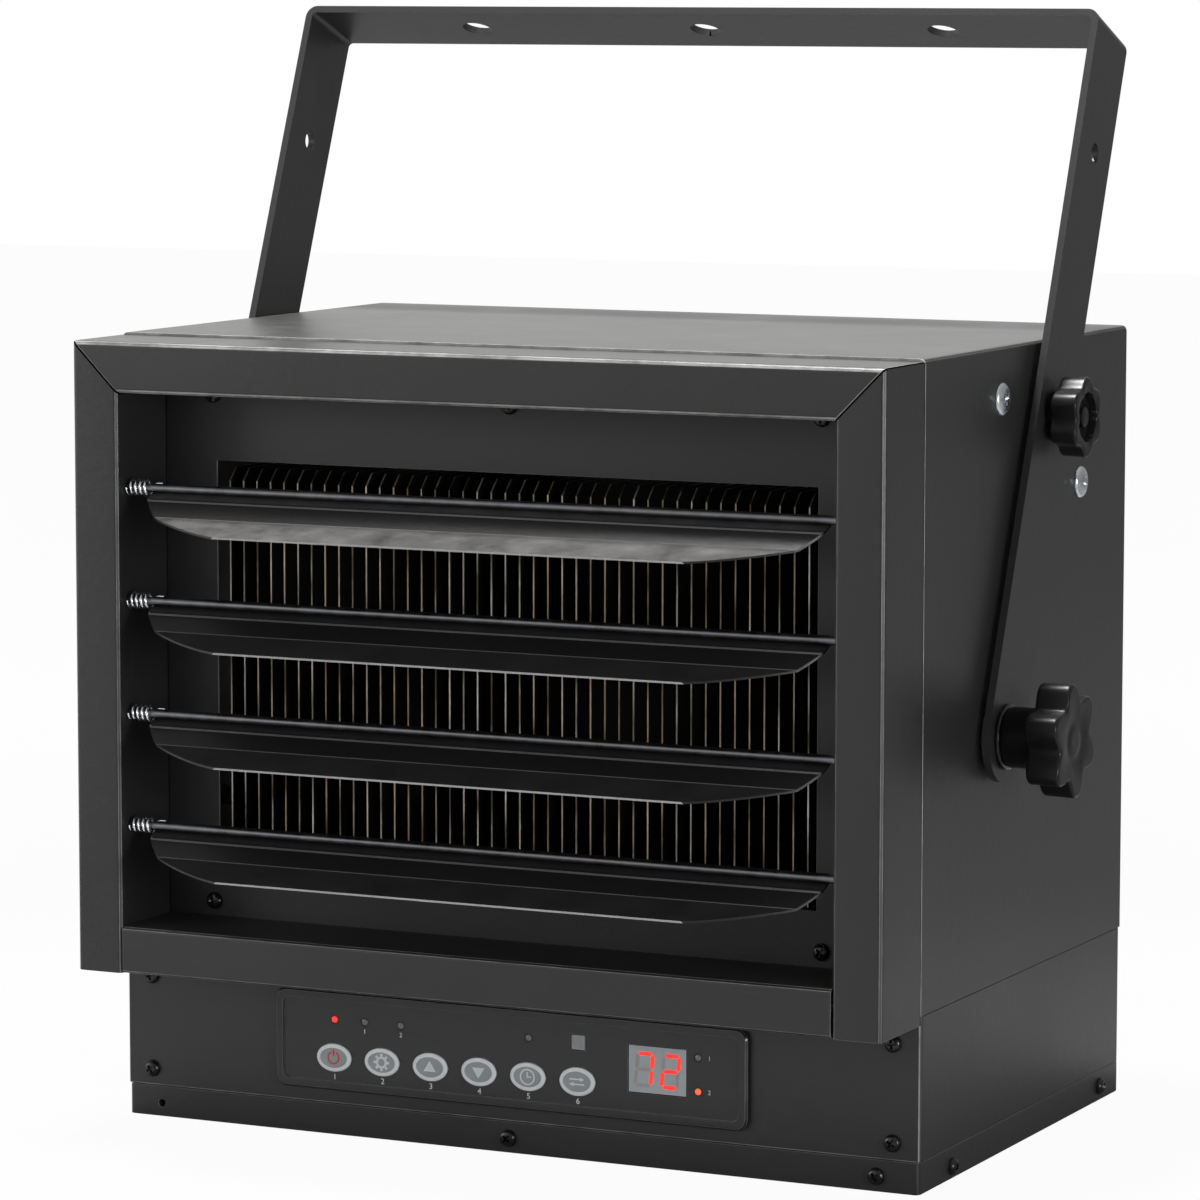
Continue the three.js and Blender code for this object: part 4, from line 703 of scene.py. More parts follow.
for i in range(louvres["count"]):
    z = louvres["top"] - i * (louvres["top"] - louvres["bottom"]) / (louvres["count"] - 1)
    spot = (0, louvres["y"], z)
    body = f"louvre_{i + 1}"
    # the top louvre gets a painted sheen on its upward faces, standing in for the light that reaches it and
    # not the louvres below
    vane = moved(blade(f"vane_{i + 1}", louvres, paints["louvre" if i else "louvreTopSheen"]), spot)
    place(vane, body, "coat")
    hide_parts(f"louvre_blade_{i + 1}")
    r, end = louvres["rod"], louvres["frameInner"] + louvres["rodBite"]
    rod = turned(f"vane_rod_{i + 1}", [(r - 0.4, -end), (r, -end + 0.5), (r, end - 0.5), (r - 0.4, end)], 20)
    moved(rod, spot, turnTo((1, 0, 0)))
    place(rod, body, "coat", paints["rod"])
    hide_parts(f"louvre_rod_{i + 1}")
    spring = moved(tube(f"vane_spring_{i + 1}", springPath(louvres), 0.5 * louvres["springWire"], 10), spot)
    place(spring, body, "zinc", paints["spring"])
    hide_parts(f"louvre_spring_{i + 1}")
print("louvres made")


# plate round the air outlet, folded back at both sides

outletPlate = {
    "half": 173.5, "low": 71.1, "high": 319.9, "front": -110.0, "back": -98.0, "sheet": 1.2,
    "opening": (-131.5, 131.5, 107.5, 271.0),
}


def foldedPlate(name, o):
    half, sheet = o["half"], o["sheet"]
    section = [(-half, o["back"]), (-half, o["front"]), (half, o["front"]), (half, o["back"])]
    section += [(half - sheet, o["back"]), (half - sheet, o["front"] + sheet),
                (sheet - half, o["front"] + sheet), (sheet - half, o["back"])]
    plate = loft(name, [[(x, y, z) for x, y in section] for z in (o["low"], o["high"])], 30)
    left, right, low, high = o["opening"]
    corners = [(left, low), (left, high), (right, high), (right, low)]
    tool = loft("cut", [[(x, o["front"] + step, z) for x, z in corners] for step in (-5, 5)], 30)
    return cutOut(plate, tool)


plate = painted(foldedPlate("air_outlet_plate", outletPlate), paints["inner"], paints["innerEdgeHighlight"])
place(softEdges(plate, 0.3), "cabinet", "inner_coat")
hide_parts("outlet_plate")


# mounting bracket: one bent bar with drilled holes

bracket = {
    "pivot": (0, -38, 169), "lean": 22.2, "reach": 298, "width": 36, "sheet": 3,
    "armOuter": 181, "bend": 3.5, "lockRadius": 132, "studHole": 4.3,
    "armHole": (243, 4.0), "barHoles": (-107, 0, 107), "barHoleRadius": 6.5,
}


def bentBar(name, o):
    halfWidth, middle = o["width"] / 2, o["armOuter"] - o["sheet"] / 2
    top = o["reach"] - o["sheet"] / 2
    low = [-halfWidth * math.cos(math.radians(a)) for a in range(4, 91, 6)]
    rise = low + [top * k / 24 for k in range(1, 24)] + [top - o["bend"]]
    # (x, z, way outwards) along the bar's middle line, left arm first
    line = [(-middle, z, (-1, 0)) for z in rise]
    for k in range(1, 8):
        a = math.radians(90 * k / 8)
        x, z = -middle + o["bend"] * (1 - math.cos(a)), top - o["bend"] * (1 - math.sin(a))
        line.append((x, z, (-math.cos(a), math.sin(a))))
    flat = middle - o["bend"]
    line += [(-flat + 2 * flat * k / 24, top, (0, 1)) for k in range(25)]
    line += [(-x, z, (-out[0], out[1])) for x, z, out in reversed(line[:len(rise) + 7])]
    rings = []
    for x, z, out in line:
        half = math.sqrt(max(halfWidth ** 2 - z ** 2, 0)) if z < 0 else halfWidth
        near = (x - out[0] * o["sheet"] / 2, z - out[1] * o["sheet"] / 2)
        far = (x + out[0] * o["sheet"] / 2, z + out[1] * o["sheet"] / 2)
        rings.append([(near[0], -half, near[1]), (near[0], half, near[1]),
                      (far[0], half, far[1]), (far[0], -half, far[1])])
    return loft(name, rings, 30)


def drill(radius, axis, spot, length):
    tool = turned("drill", [(radius, -length), (radius, length)], 40)
    return moved(tool, spot, turnTo(axis))


hanger = bentBar("bent_bar", bracket)
holes = [(bracket["studHole"], (1, 0, 0), (0, 0, 0), 200),
         (bracket["studHole"], (1, 0, 0), (0, 0, bracket["lockRadius"]), 200),
         (bracket["armHole"][1], (1, 0, 0), (0, 0, bracket["armHole"][0]), 200)]
holes += [(bracket["barHoleRadius"], (0, 0, 1), (x, 0, bracket["reach"]), 10) for x in bracket["barHoles"]]
for hole in holes:
    cutOut(hanger, drill(*hole))
lean = Matrix.Rotation(-math.radians(bracket["lean"]), 3, "X")
moved(hanger, bracket["pivot"], lean)
softEdges(painted(hanger, paints["coat"], paints["coatEdgeHighlight"]), 0.45, 35)
place(hanger, "bracket", "coat")
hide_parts("mounting_bracket")
print("bracket bent")


# knobs, washers and spacers

pivotKnob = {
    "radius": 23, "lobes": 6, "phase": 22, "scallop": 6.5, "power": 1.15, "length": 14, "edge": 1.5,
    "collar": 12, "collarLength": 13, "stud": 3.8, "studLength": 23,
    "face": [(0.86, 0.0), (0.74, -0.25), (0.62, -0.6), (0.50, -0.8), (0.42, -0.75), (0.36, -0.5),
             (0.28, -0.35), (0.16, -0.3), (0.06, -0.4)],
}
lockKnob = {
    "radius": 16, "lobes": 6, "phase": 30, "scallop": 2.6, "power": 1.15, "length": 11, "edge": 1.1,
    "collar": 10, "collarLength": 3, "stud": 3.8, "studLength": 3.3,
    "face": [(0.86, 0.0), (0.80, -0.5), (0.78, -3.6), (0.70, -4.0), (0.40, -4.0), (0.34, -3.6),
             (0.32, -1.6), (0.26, -1.2), (0.08, -1.2)],
}


def lobedRing(o, inset, along, steps=180):
    ring = []
    for k in range(steps):
        t = 2 * math.pi * k / steps
        valley = (0.5 - 0.5 * math.cos(o["lobes"] * (t + math.radians(o["phase"] - 90)))) ** o["power"]
        radius = o["radius"] - o["scallop"] * valley - inset
        ring.append((radius * math.cos(t), radius * math.sin(t), along))
    return ring


def knob(name, o):
    base, top, edge = o["collarLength"], o["collarLength"] + o["length"], o["edge"]
    rings = [circle(o["stud"] - 0.6, -o["studLength"], 180), circle(o["stud"], -o["studLength"] + 0.6, 180),
             circle(o["stud"], -0.05, 180), circle(o["collar"] - 0.5, 0, 180), circle(o["collar"], 0.5, 180),
             circle(o["collar"], base - 1.2, 180), circle(o["collar"] + 0.8, base - 0.3, 180)]
    rings += [lobedRing(o, edge * 1.4, base)]
    for k in range(5):
        a = math.radians(90 * k / 4)
        rings.append(lobedRing(o, 0.3 + edge * (1 - math.sin(a)), base + edge * (1 - math.cos(a)) + 0.05))
    for k in range(6):
        a = math.radians(90 * k / 5)
        rings.append(lobedRing(o, edge * (1 - math.cos(a)), top - edge * (1 - math.sin(a))))
    flat = lobedRing(o, edge + 0.6, top)
    rings.append(flat)
    # the lobes end in a flat rim round a round dish
    (share, sink), *dish = o["face"]
    rings.append([(x * share, y * share, top + sink) for x, y, _ in flat])
    wide = 1.06 * min(math.hypot(x, y) for x, y, _ in flat)
    rings += [circle(share * wide, top + sink, 180) for share, sink in dish]
    return loft(name, rings, 50)


def ringWasher(name, inner, outer, thick):
    profile = [(inner, 0.2), (inner + 0.2, 0), (outer - 0.3, 0), (outer, 0.3), (outer, thick - 0.3),
               (outer - 0.3, thick), (inner + 0.2, thick), (inner, thick - 0.2)]
    return turned(name, profile, 56, 60, closed=True)


def onBracket(along):
    return tuple(Vector(bracket["pivot"]) + lean @ Vector((0, 0, along)))


pivotStack = {
    "bore": 4.3, "radius": 13, "spacer": 2.4, "spacerAt": 175.3, "washer": 1.6, "armFace": 181.3,
    "knobAt": 183.2,
}

for name, side in (("left", -1), ("right", 1)):
    _, y, z = bracket["pivot"]
    out = turnTo((side, 0, 0))
    bore, radius = pivotStack["bore"], pivotStack["radius"]
    ring = ringWasher(f"arm_spacer_{name}", bore, radius, pivotStack["spacer"])
    piece = moved(ring, (side * pivotStack["spacerAt"], y, z), out)
    place(piece, "cabinet", "zinc", paints["plate"])
    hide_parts(f"pivot_spacer_{name}")
    ring = ringWasher(f"clamp_washer_{name}", bore, radius, pivotStack["washer"])
    piece = moved(ring, (side * pivotStack["armFace"], y, z), out)
    place(piece, f"pivot_washer_{name}", "zinc", paints["screwBlack"])
    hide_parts(f"pivot_washer_{name}")
    piece = moved(knob(f"clamp_knob_{name}", pivotKnob), (side * pivotStack["knobAt"], y, z), out)
    place(piece, f"pivot_knob_{name}", "knob", paints["knob"])
    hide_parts(f"pivot_knob_{name}")
    _, y, z = onBracket(bracket["lockRadius"])
    piece = moved(knob(f"tilt_knob_{name}", lockKnob), (side * pivotStack["armFace"], y, z), out)
    place(piece, f"lock_knob_{name}", "knob", paints["knob"])
    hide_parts(f"lock_knob_{name}")
print("knobs turned")


# screws

panScrew = {"radius": 3.5, "height": 2.4, "crossLength": 4.0, "crossWidth": 0.95, "crossDepth": 1.5}
trussScrew = {"radius": 6.5, "height": 2.2, "crossLength": 5.6, "crossWidth": 1.2, "crossDepth": 1.4}


def screwMesh(name, o):
    r, h = o["radius"], o["height"]
    profile = [(0.4, -0.05), (r - 0.25, -0.05), (r, 0.2)]
    profile += [(r * math.cos(math.radians(a)) ** 0.55, 0.25 + (h - 0.25) * math.sin(math.radians(a)))
                for a in range(8, 86, 9)]
    head = turned(name, profile, 40, 40)
    for turn in (0, 90):
        long, wide, low = o["crossLength"] / 2, o["crossWidth"] / 2, h - o["crossDepth"]
        top = [(-long, -wide), (long, -wide), (long, wide), (-long, wide)]
        rings = [[(x * s, y * (0.5 + 0.5 * s), z) for x, y in top] for s, z in ((0.45, low), (1.15, h + 0.5))]
        tool = loft("cross", rings, 30)
        tool.matrix_world = Matrix.Rotation(math.radians(turn), 4, "Z")
        cutOut(head, tool)
    mesh = head.data
    bpy.data.objects.remove(head)
    return mesh


def screw(name, mesh, spot, direction, slot, material):
    piece = bpy.data.objects.new(name, mesh)
    bpy.context.scene.collection.objects.link(piece)
    spin = Matrix.Rotation(dice.uniform(0, math.pi / 2), 3, "Z")
    place(moved(piece, spot, turnTo(direction) @ spin), "cabinet", slot, material)


screws = {
    # (x, z) on the front and the back, (y, z) on both sides
    "front": [(-164, 19.6), (-164, 58.4), (164, 19.6), (164, 58.4), (-1, 5.9), (157.3, 6.0),
              (-134, 91.6), (134, 91.6), (-133, 297.6), (0, 297.6), (133, 297.6)],
    "back": [(-168, 92), (-168, 195), (-168, 300), (168, 92), (168, 195), (168, 300),
             (-110, 314.4), (0, 314.4), (110, 314.4), (-120, 5.9), (120, 5.9)],
    "tray": [(-76, 4.8), (87.4, 5.9)], "plugs": [(-31.1, 300.8), (56.6, 261.0)],
    "halfDepth": 110, "halfWidth": 175,
}
panMesh = screwMesh("pan_head", panScrew)
trussMesh = screwMesh("truss_head", trussScrew)
for name, way in (("front", -1), ("back", 1)):
    for i, (x, z) in enumerate(screws[name]):
        spot = (x, way * screws["halfDepth"], z)
        screw(f"{name}_screw_{i + 1}", panMesh, spot, (0, way, 0), "coat", paints["screwBlack"])
for name, side in (("left", -1), ("right", 1)):
    for i, (y, z) in enumerate(screws["tray"]):
        spot = (side * screws["halfWidth"], y, z)
        screw(f"tray_screw_{name}_{i + 1}", panMesh, spot, (side, 0, 0), "coat", paints["screwBlack"])
    for i, (y, z) in enumerate(screws["plugs"]):
        spot = (side * screws["halfWidth"], y, z)
        screw(f"lock_plug_{name}_{i + 1}", trussMesh, spot, (side, 0, 0), "zinc", paints["zinc"])
print("screws driven")


# keys, signs, lamps and display

keys = {
    "first": -78.1, "pitch": 21.76, "z": 32.0, "width": 15.5, "height": 11.5,
    "front": -113.1, "flange": -110.0, "flangeLap": 2.3, "stem": 4, "stemEnd": -104.1,
    "ring": 1.15, "edge": 0.6, "sink": 0.22, "crown": 0.12, "steps": 64, "numberDrop": 8.0,
}
keyNames = ["key_power", "key_mode", "key_up", "key_down", "key_timer", "key_units"]


def arc(radius, width, start, end, steps=40):
    # outline of a bent stripe
    turns = [math.radians(start + (end - start) * k / steps) for k in range(steps + 1)]
    far, near = radius + width / 2, radius - width / 2
    outer = [(far * math.cos(t), far * math.sin(t)) for t in turns]
    inner = [(near * math.cos(t), near * math.sin(t)) for t in turns]
    return outer + inner[::-1]


def stripe(x0, z0, x1, z1, width):
    run = Vector((x1 - x0, z1 - z0)).normalized() * width / 2
    return [(x0 + run.y, z0 - run.x), (x1 + run.y, z1 - run.x),
            (x1 - run.y, z1 + run.x), (x0 - run.y, z0 + run.x)]


def halfRings(radius, width):
    return [arc(radius, width, 0, 180), arc(radius, width, 180, 360)]


def rays(count, near, far, width):
    ways = [(math.cos(t), math.sin(t)) for t in (2 * math.pi * k / count for k in range(count))]
    return [stripe(near * x, near * z, far * x, far * z, width) for x, z in ways]


keySigns = {
    "key_power": [arc(2.4, 0.62, 118, 422), stripe(0, 0.9, 0, 3.4, 0.62)],
    "key_mode": halfRings(2.0, 0.95) + rays(8, 2.6, 3.5, 1.0),
    "key_up": [[(-2.7, -1.7), (2.7, -1.7), (0, 2.5)]],
    "key_down": [[(-2.7, 1.7), (0, -2.5), (2.7, 1.7)]],
    "key_timer": halfRings(3.0, 0.55) + [stripe(0, -0.25, 0, 2.0, 0.5), stripe(0, 0, 1.7, 0, 0.5)],
    "key_units": [stripe(-3.2, 1.0, 1.6, 1.0, 0.55), [(1.4, 0.1), (3.3, 1.0), (1.4, 1.9)],
                  stripe(-1.6, -1.0, 3.2, -1.0, 0.55), [(-1.4, -0.1), (-3.3, -1.0), (-1.4, -1.9)]],
}


def ovalRing(width, height, y):
    turns = [2 * math.pi * k / keys["steps"] for k in range(keys["steps"])]
    return [(width / 2 * math.cos(t), y, height / 2 * math.sin(t)) for t in turns]


def keyCap(name, o):
    # stem, hidden flange, crowned cap with a white ring and a slightly sunk grey middle
    w, h, front, edge = o["width"], o["height"], o["front"], o["edge"]
    stem, lap, flange = o["stem"], o["flangeLap"], o["flange"]
    rings = [ovalRing(stem, stem, o["stemEnd"]), ovalRing(stem, stem, flange + 1),
             ovalRing(w + lap, h + lap, flange + 1), ovalRing(w + lap, h + lap, flange),
             ovalRing(w, h, flange - 0.05)]
    for k in range(6):
        a = math.radians(90 * k / 5)
        rings.append(ovalRing(w - 2 * edge * (1 - math.cos(a)), h - 2 * edge * (1 - math.cos(a)),
                              front + edge * (1 - math.sin(a))))
    white = len(rings) - 6
    inner = 2 * (edge + o["ring"])
    rings.append(ovalRing(w - inner + 0.3, h - inner + 0.3, front))
    rings.append(ovalRing(w - inner, h - inner, front + o["sink"]))
    grey = len(rings) - 1
    for share in (0.8, 0.5, 0.2):
        y = front + o["sink"] - o["crown"] * (1 - share)
        rings.append(ovalRing((w - inner) * share, (h - inner) * share, y))
    piece = loft(name, rings, 30)
    piece.data.materials.append(paints["keyGrey"])
    piece.data.materials.append(paints["keyWhite"])
    for face in piece.data.polygons:
        ring = min(face.vertices) // o["steps"]
        face.material_index = 1 if white <= ring < grey - 1 and len(face.vertices) == 4 else 0
    return piece


fasciaFace = -111.9


def solidText(piece):
    # a mesh in place of the font curve
    graph = bpy.context.evaluated_depsgraph_get()
    mesh = bpy.data.meshes.new_from_object(piece.evaluated_get(graph))
    made = bpy.data.objects.new(piece.name + "_print", mesh)
    bpy.context.scene.collection.objects.link(made)
    made.matrix_world = piece.matrix_world.copy()
    bpy.data.objects.remove(piece)
    return made


def numeral(name, text, x, z, height):
    # a plain number printed on the fascia
    font = bpy.data.curves.new(name, "FONT")
    font.body, font.size, font.extrude = text, height * 1.35 * mm, 0.03 * mm
    font.align_x, font.align_y = "CENTER", "CENTER"
    piece = bpy.data.objects.new(name, font)
    bpy.context.scene.collection.objects.link(piece)
    moved(piece, (x, fasciaFace - 0.02, z), Matrix.Rotation(math.pi / 2, 3, "X"))
    place(solidText(piece), "cabinet", "keys", paints["print"])


for i, name in enumerate(keyNames):
    x = keys["first"] + i * keys["pitch"]
    cap = moved(keyCap(f"{name}_cap", keys), (x, 0, keys["z"]))
    place(cap, name, "keys")
    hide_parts(name)
    sign = flatMarks(f"{name}_sign", keySigns[name], keys["front"] + 0.04, 0.14)
    moved(sign, (x, 0, keys["z"]))
    place(sign, name, "keys", paints["signRed"] if name == "key_power" else paints["print"])
    numeral(f"key_number_{i + 1}", str(i + 1), x, keys["z"] - keys["numberDrop"], 2.5)

lamps = {
    "radius": 1.35, "proud": 0.35,
    "places": [(-78.1, 47.5, "lampRed"), (-64.4, 47.5, "lampOff"), (-48.1, 47.5, "lampOff"),
               (8.94, 47.5, "lampOff"), (82.7, 46.0, "lampOff"), (82.7, 32.5, "lampAmber")],
    "numbers": [("1", -64.4, 43.6), ("2", -48.1, 43.6), ("1", 87.6, 46.0), ("2", 87.6, 32.5)],
}
for i, (x, z, paint) in enumerate(lamps["places"]):
    r, proud = lamps["radius"], lamps["proud"]
    dome = [math.radians(a) for a in range(15, 90, 15)]
    profile = [(r, -0.3), (r, 0.0)] + [(r * math.cos(t), proud * math.sin(t)) for t in dome]
    lens = turned(f"lamp_{i + 1}", profile, 28, 50)
    moved(lens, (x, fasciaFace, z), turnTo((0, -1, 0)))
    place(lens, "cabinet", "lens", paints[paint])
    rim = flatMarks(f"lamp_ring_{i + 1}", halfRings(r + 0.3, 0.4), fasciaFace - 0.03, 0.06)
    moved(rim, (x, 0, z))
    place(rim, "cabinet", "fascia", paints["knob"])
for i, (text, x, z) in enumerate(lamps["numbers"]):
    numeral(f"lamp_number_{i + 1}", text, x, z, 1.9)

display = {
    "x": 65.1, "z": 39.3, "front": -111.7, "height": 14.2, "width": 8.2, "pitch": 11.4,
    "bar": 1.6, "slant": 0.09, "gap": 0.22, "digits": "72",
}
segmentsOf = {"0": "abcdef", "1": "bc", "2": "abged", "3": "abgcd", "4": "fgbc", "5": "afgcd",
              "6": "afgedc", "7": "abc", "8": "abcdefg", "9": "abcdfg"}


def segmentOutline(letter, o):
    w, h, t, g = o["width"] / 2, o["height"] / 2, o["bar"] / 2, o["gap"]
    if letter in "adg":
        z = {"a": h - t, "g": 0, "d": -h + t}[letter]
        a, b = -w + t + g, w - t - g
        shape = [(a, z), (a + t, z - t), (b - t, z - t), (b, z), (b - t, z + t), (a + t, z + t)]
    else:
        x = w - t if letter in "bc" else -w + t
        a, b = (g, h - t - g) if letter in "bf" else (-h + t + g, -g)
        shape = [(x, a), (x + t, a + t), (x + t, b - t), (x, b), (x - t, b - t), (x - t, a + t)]
    return [(x + o["slant"] * z, z) for x, z in shape]


for i, digit in enumerate(display["digits"]):
    x = display["x"] + (i - 0.5) * display["pitch"]
    lit = [segmentOutline(s, display) for s in segmentsOf[digit]]
    off = [segmentOutline(s, display) for s in "abcdefg" if s not in segmentsOf[digit]]
    for name, shapes, paint in (("lit", lit, "segmentRed"), ("off", off, "segmentOff")):
        marks = flatMarks(f"digit_{i + 1}_{name}", shapes, display["front"] - 0.05, 0.1)
        moved(marks, (x, 0, display["z"]))
        place(marks, "cabinet", "display", paints[paint])
print("keypad printed")


# rear guard, fan and cable gland

guard = {"y": 110.05, "z": 195.5, "wire": 1.25, "rings": 7, "first": 20, "last": 105.5,
         "ribs": 6, "cap": 15, "clamps": 4, "clampRadius": 109.0, "clampY": 108.5}


def wireGuard(o):
    parts = []
    step = (o["last"] - o["first"]) / (o["rings"] - 1)
    for i in range(o["rings"]):
        radius = o["first"] + i * step
        path = [(radius * math.cos(t), 0, radius * math.sin(t))
                for t in (2 * math.pi * k / 96 for k in range(96))]
        parts.append((tube(f"guard_ring_{i + 1}", path, o["wire"], 10, closed=True), 0))
    reach = o["last"] + o["wire"]
    for i in range(o["ribs"]):
        t = math.pi * (2 * i + 1) / o["ribs"]
        path = [(reach * s * math.cos(t), 0, reach * s * math.sin(t)) for s in (0.08, 0.4, 0.7, 1.0)]
        parts.append((tube(f"guard_rib_{i + 1}", path, o["wire"], 10), o["wire"]))
    r = o["cap"]
    dome = [(r - 0.6, 0), (r, 0.5), (r, 1.6), (r - 0.8, 2.6), (r - 3, 3.2), (r * 0.5, 3.7), (r * 0.2, 3.9)]
    cap = turned("guard_cap", dome, 56, 50)
    cap.matrix_world = turnTo((0, 1, 0)).to_4x4()
    parts.append((cap, 0))
    for part, back in parts:
        part.matrix_world = Matrix.Translation(Vector((0, o["y"] + back, o["z"])) * mm) @ part.matrix_world
        place(part, "cabinet", "guard", paints["guard"])
        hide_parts("rear_guard")


wireGuard(guard)
clampProfile = [(0.5, 0), (2.6, 0), (2.6, 2.9), (5.2, 2.9), (5.2, 3.7), (3.2, 3.8), (2.8, 5.0), (0.4, 5.3)]
for i in range(guard["clamps"]):
    t = math.radians(45 + 360 * i / guard["clamps"])
    out = guard["clampRadius"]
    clamp = turned(f"guard_clamp_{i + 1}", rounded(clampProfile, 0.25), 32, 40)
    moved(clamp, (out * math.cos(t), guard["clampY"], guard["z"] + out * math.sin(t)), turnTo((0, 1, 0)))
    place(clamp, "cabinet", "zinc", paints["zinc"])

fan = {
    "front": 80.3, "back": 102.3, "z": 195.5, "bore": 4.3, "hub": 17, "hubLength": 22, "hubDome": 4,
    "blades": 5, "radius": 98, "sheet": 1.4, "rootSink": 3, "rootPitch": 42, "tipPitch": 24,
    "rootChord": 31, "tipChord": 74, "camber": 0.08, "tipRound": 0.16, "tipNarrow": 0.22,
    "stations": 18, "chordSteps": 14,
}


def fanBlade(name, o, angle):
    rings = []
    middle = (o["front"] + o["back"]) / 2
    root = o["hub"] - o["rootSink"]
    for i in range(o["stations"]):
        t = i / (o["stations"] - 1)
        radius = root + t * (o["radius"] - root)
        chord = o["rootChord"] + t * (o["tipChord"] - o["rootChord"])
        late = max(0.0, (t - 1 + o["tipRound"]) / o["tipRound"])
        chord *= 1 - o["tipNarrow"] * late * late
        pitch = math.radians(o["rootPitch"] + t * (o["tipPitch"] - o["rootPitch"]))
        ring = []
        order = [(-0.5, k) for k in range(o["chordSteps"] + 1)]
        order += [(0.5, k) for k in reversed(range(o["chordSteps"] + 1))]
        for face, k in order:
            along = k / o["chordSteps"] - 0.5
            bulge = o["camber"] * chord * (1 - 4 * along * along) + face * o["sheet"]
            across = chord * along * math.cos(pitch) - bulge * math.sin(pitch)
            depth = chord * along * math.sin(pitch) + bulge * math.cos(pitch)
            turn = angle + across / radius
            ring.append((radius * math.cos(turn), middle + depth, o["z"] + radius * math.sin(turn)))
        rings.append(ring)
    return loft(name, rings, 40)


def hubProfile(o):
    bore, r, dome, end = o["bore"], o["hub"], o["hubDome"], o["hubLength"]
    return [(bore, 0), (r - dome, 0), (r, dome), (r, end), (bore, end), (bore, 0.01)]


hub = turned("fan_hub", rounded(hubProfile(fan), 1.0), 56, 40, closed=True)
moved(hub, (0, fan["front"], fan["z"]), turnTo((0, 1, 0)))
place(hub, "fan_rotor", "fan_metal", paints["fanMetal"])
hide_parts("fan")
for i in range(fan["blades"]):
    piece = fanBlade(f"fan_blade_{i + 1}", fan, 2 * math.pi * i / fan["blades"])
    place(piece, "fan_rotor", "fan_metal", paints["fanMetal"])
    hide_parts("fan")

gland = {
    "x": 128, "z": 40, "back": 110.3, "bore": 7, "neck": 10.5, "flange": 15, "sheet": 3, "barrel": 11.4,
    "length": 13, "nut": 14, "nutFront": -6.8, "nutBack": -1.8, "screwOut": 9.2, "screwBack": 8.2,
}


def glandProfile(o):
    # nut inside the box, neck, flange and barrel outside it
    bore, neck, flange, barrel, end = o["bore"], o["neck"], o["flange"], o["barrel"], o["length"]
    return [(bore, o["nutFront"]), (o["nut"], o["nutFront"]), (o["nut"], o["nutBack"]), (neck, o["nutBack"]),
            (neck, 0), (flange, 0), (flange, o["sheet"]), (barrel + 0.8, o["sheet"] + 0.6),
            (barrel, o["sheet"] + 1.6), (barrel, end - 2.4), (barrel - 1, end), (bore + 0.6, end),
            (bore, end - 0.8), (bore, o["nutFront"] + 0.1)]


body = turned("gland_body", rounded(glandProfile(gland), 0.5), 64, 40, closed=True)
moved(body, (gland["x"], gland["back"], gland["z"]), turnTo((0, 1, 0)))
place(body, "cabinet", "zinc", paints["zinc"])
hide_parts("cable_gland")
glandScrew = [(0.3, -8), (1.6, -8), (1.6, 0), (2.9, 0), (2.9, 1.2), (2.2, 2.0), (0.3, 2.2)]
for i, side in enumerate((-1, 1)):
    out, behind = gland["screwOut"], gland["screwBack"]
    clamp = turned(f"gland_screw_{i + 1}", rounded(glandScrew, 0.3), 28, 40)
    moved(clamp, (gland["x"] + side * out, gland["back"] + behind, gland["z"] + out))
    place(clamp, "cabinet", "zinc", paints["zinc"])
print("back finished")


# camera, floor and light

camera = {
    "lens": 161.69, "sensor": 36, "place": (0.941781, -1.989997, 0.465149),  # millimetres; metres
    "azimuth": 25.644, "elevation": 6.619, "roll": 0.045,
}


def addCamera(o):
    a, e, r = (math.radians(o[k]) for k in ("azimuth", "elevation", "roll"))
    right = Vector((math.cos(a), math.sin(a), 0))
    back = Vector((math.sin(a) * math.cos(e), -math.cos(a) * math.cos(e), math.sin(e)))
    up = back.cross(right)
    rolledRight = right * math.cos(r) + up * math.sin(r)
    rolledUp = up * math.cos(r) - right * math.sin(r)
    data = bpy.data.cameras.new("photo camera")
    data.lens, data.sensor_width, data.clip_end = o["lens"], o["sensor"], 50
    eye = bpy.data.objects.new("photo camera", data)
    axes = Matrix((rolledRight, rolledUp, back)).transposed().to_4x4()
    eye.matrix_world = Matrix.Translation(o["place"]) @ axes
    bpy.context.scene.collection.objects.link(eye)
    bpy.context.scene.camera = eye


addCamera(camera)

light = {
    "lamps": [
        # name, place, looks at, size (in metres), watts, colour
        ("top", (-0.15, -0.05, 1.75), (0, -0.1, 0.2), 0.2, 45, (1.0, 1.0, 1.0)),
        ("left", (-2.4, -2.1, 0.7), (0, 0, 0.2), 1.0, 14, (1.0, 0.99, 0.97)),
        ("right", (2.3, -1.1, 0.35), (0, 0, 0.2), 0.6, 22, (0.98, 0.99, 1.0)),
    ],
    "room": 0.36, "ceiling": 0.3, "wall": 1.0, "card": 0.29,
}


def addLamp(name, spot, aim, size, watts, colour):
    data = bpy.data.lights.new(name, "AREA")
    data.size, data.energy, data.color = size, watts, colour
    lamp = bpy.data.objects.new(name, data)
    lamp.matrix_world = Matrix.Translation(spot) @ (
        (Vector(aim) - Vector(spot)).to_track_quat("-Z", "Y").to_matrix().to_4x4())
    bpy.context.scene.collection.objects.link(lamp)


for lamp in light["lamps"]:
    addLamp(*lamp)


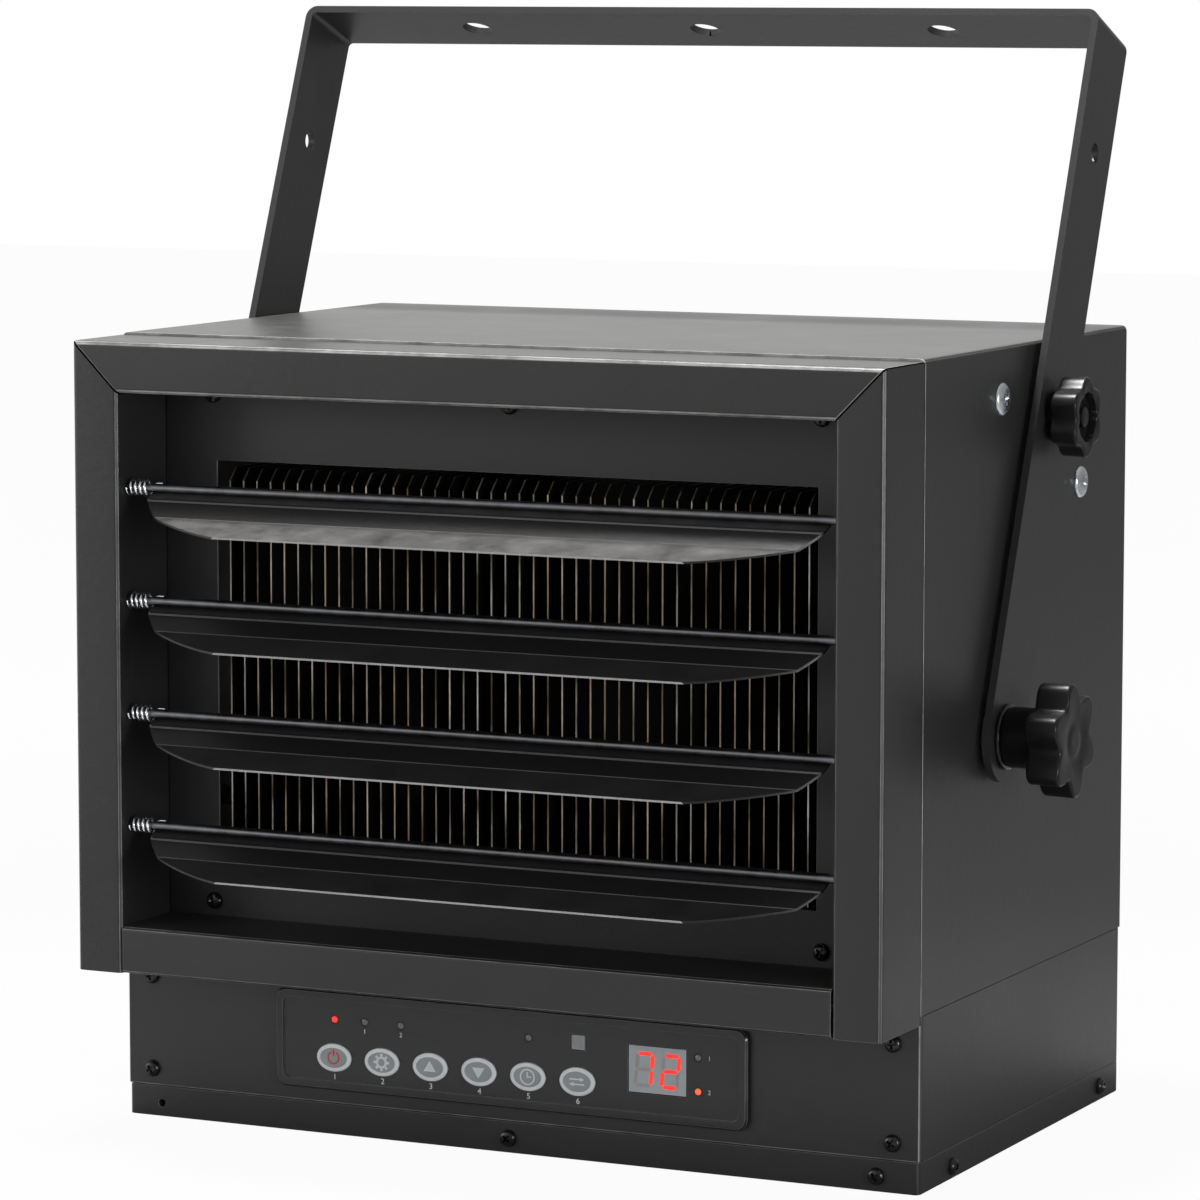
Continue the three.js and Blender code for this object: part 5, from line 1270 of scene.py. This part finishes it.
def addWorld(o):
    # white to the camera; a white wall on the left and a dark card on the right to what shines; an
    # even room to the rest
    world = bpy.data.worlds.new("studio")
    bpy.context.scene.world = world
    world.use_nodes = True
    tree = world.node_tree
    tree.nodes.clear()
    direction = put(tree, "ShaderNodeTexCoord").outputs["Generated"]
    towards = put(tree, "ShaderNodeSeparateXYZ", {0: direction}).outputs
    path = put(tree, "ShaderNodeLightPath").outputs
    overhead = span(tree, towards["Z"], 0.2, 0.95)
    room = maths(tree, "ADD", maths(tree, "MULTIPLY", overhead, o["ceiling"]), o["room"])
    above = maths(tree, "MULTIPLY", overhead, 0.25)
    wall = maths(tree, "MULTIPLY", span(tree, towards["X"], 0.1, -0.35), span(tree, towards["Z"], 0.75, 0.45))
    wall = maths(tree, "MAXIMUM", wall, above)
    studio = span(tree, wall, 0, 1, o["card"], o["wall"])
    shining = maths(tree, "MAXIMUM", path["Is Glossy Ray"], path["Is Transmission Ray"])
    strength = maths(tree, "ADD", maths(tree, "MULTIPLY", studio, shining),
                     maths(tree, "MULTIPLY", room, maths(tree, "SUBTRACT", 1.0, shining)))
    strength = maths(tree, "MAXIMUM", strength, path["Is Camera Ray"])
    backdrop = put(tree, "ShaderNodeBackground", {"Color": (1, 1, 1, 1), "Strength": strength})
    put(tree, "ShaderNodeOutputWorld", {"Surface": backdrop.outputs[0]})


floorPlane = {"half": 6000, "level": -0.2, "dark": (0.14, 0.14, 0.14, 1), "pale": (0.62, 0.62, 0.62, 1)}


def addFloor(o):
    # darker near the heater and on the right, pale further out; almost white to the camera
    half = o["half"]
    corners = [(x, y, o["level"]) for x, y in ((-half, -half), (half, -half), (half, half), (-half, half))]
    floor = addMesh("studio_floor", corners, [(0, 1, 2, 3)])
    material, tree, sockets = newMaterial("pale floor", Roughness=0.8, Specular_IOR_Level=0.1)
    away = put(tree, "ShaderNodeVectorMath", {0: objectSpace(tree)}, operation="LENGTH").outputs["Value"]
    side = put(tree, "ShaderNodeSeparateXYZ", {0: objectSpace(tree)}).outputs["X"]
    pale = maths(tree, "MULTIPLY", span(tree, away, 0.5, 1.3), span(tree, side, 0.5, 0.1, 0.35, 1.0))
    pale = maths(tree, "MAXIMUM", pale, span(tree, away, 0.62, 0.42, 0.0, 0.5))
    grey = mixColour(tree, pale, o["dark"], o["pale"])
    tree.links.new(grey, sockets["Base Color"])
    white = put(tree, "ShaderNodeEmission", {"Color": (1, 1, 1, 1), "Strength": 1.0})
    seen = put(tree, "ShaderNodeLightPath").outputs["Is Camera Ray"]
    blend = put(tree, "ShaderNodeMixShader", {
        "Fac": maths(tree, "MULTIPLY", seen, 0.96), 1: tree.nodes["Principled BSDF"].outputs[0],
        2: white.outputs[0]})
    tree.links.new(blend.outputs[0], tree.nodes["Material Output"].inputs["Surface"])
    floor.data.materials.append(material)


addWorld(light)
addFloor(floorPlane)

bpy.context.scene.view_settings.view_transform = "Standard"
print("camera, floor and light set")
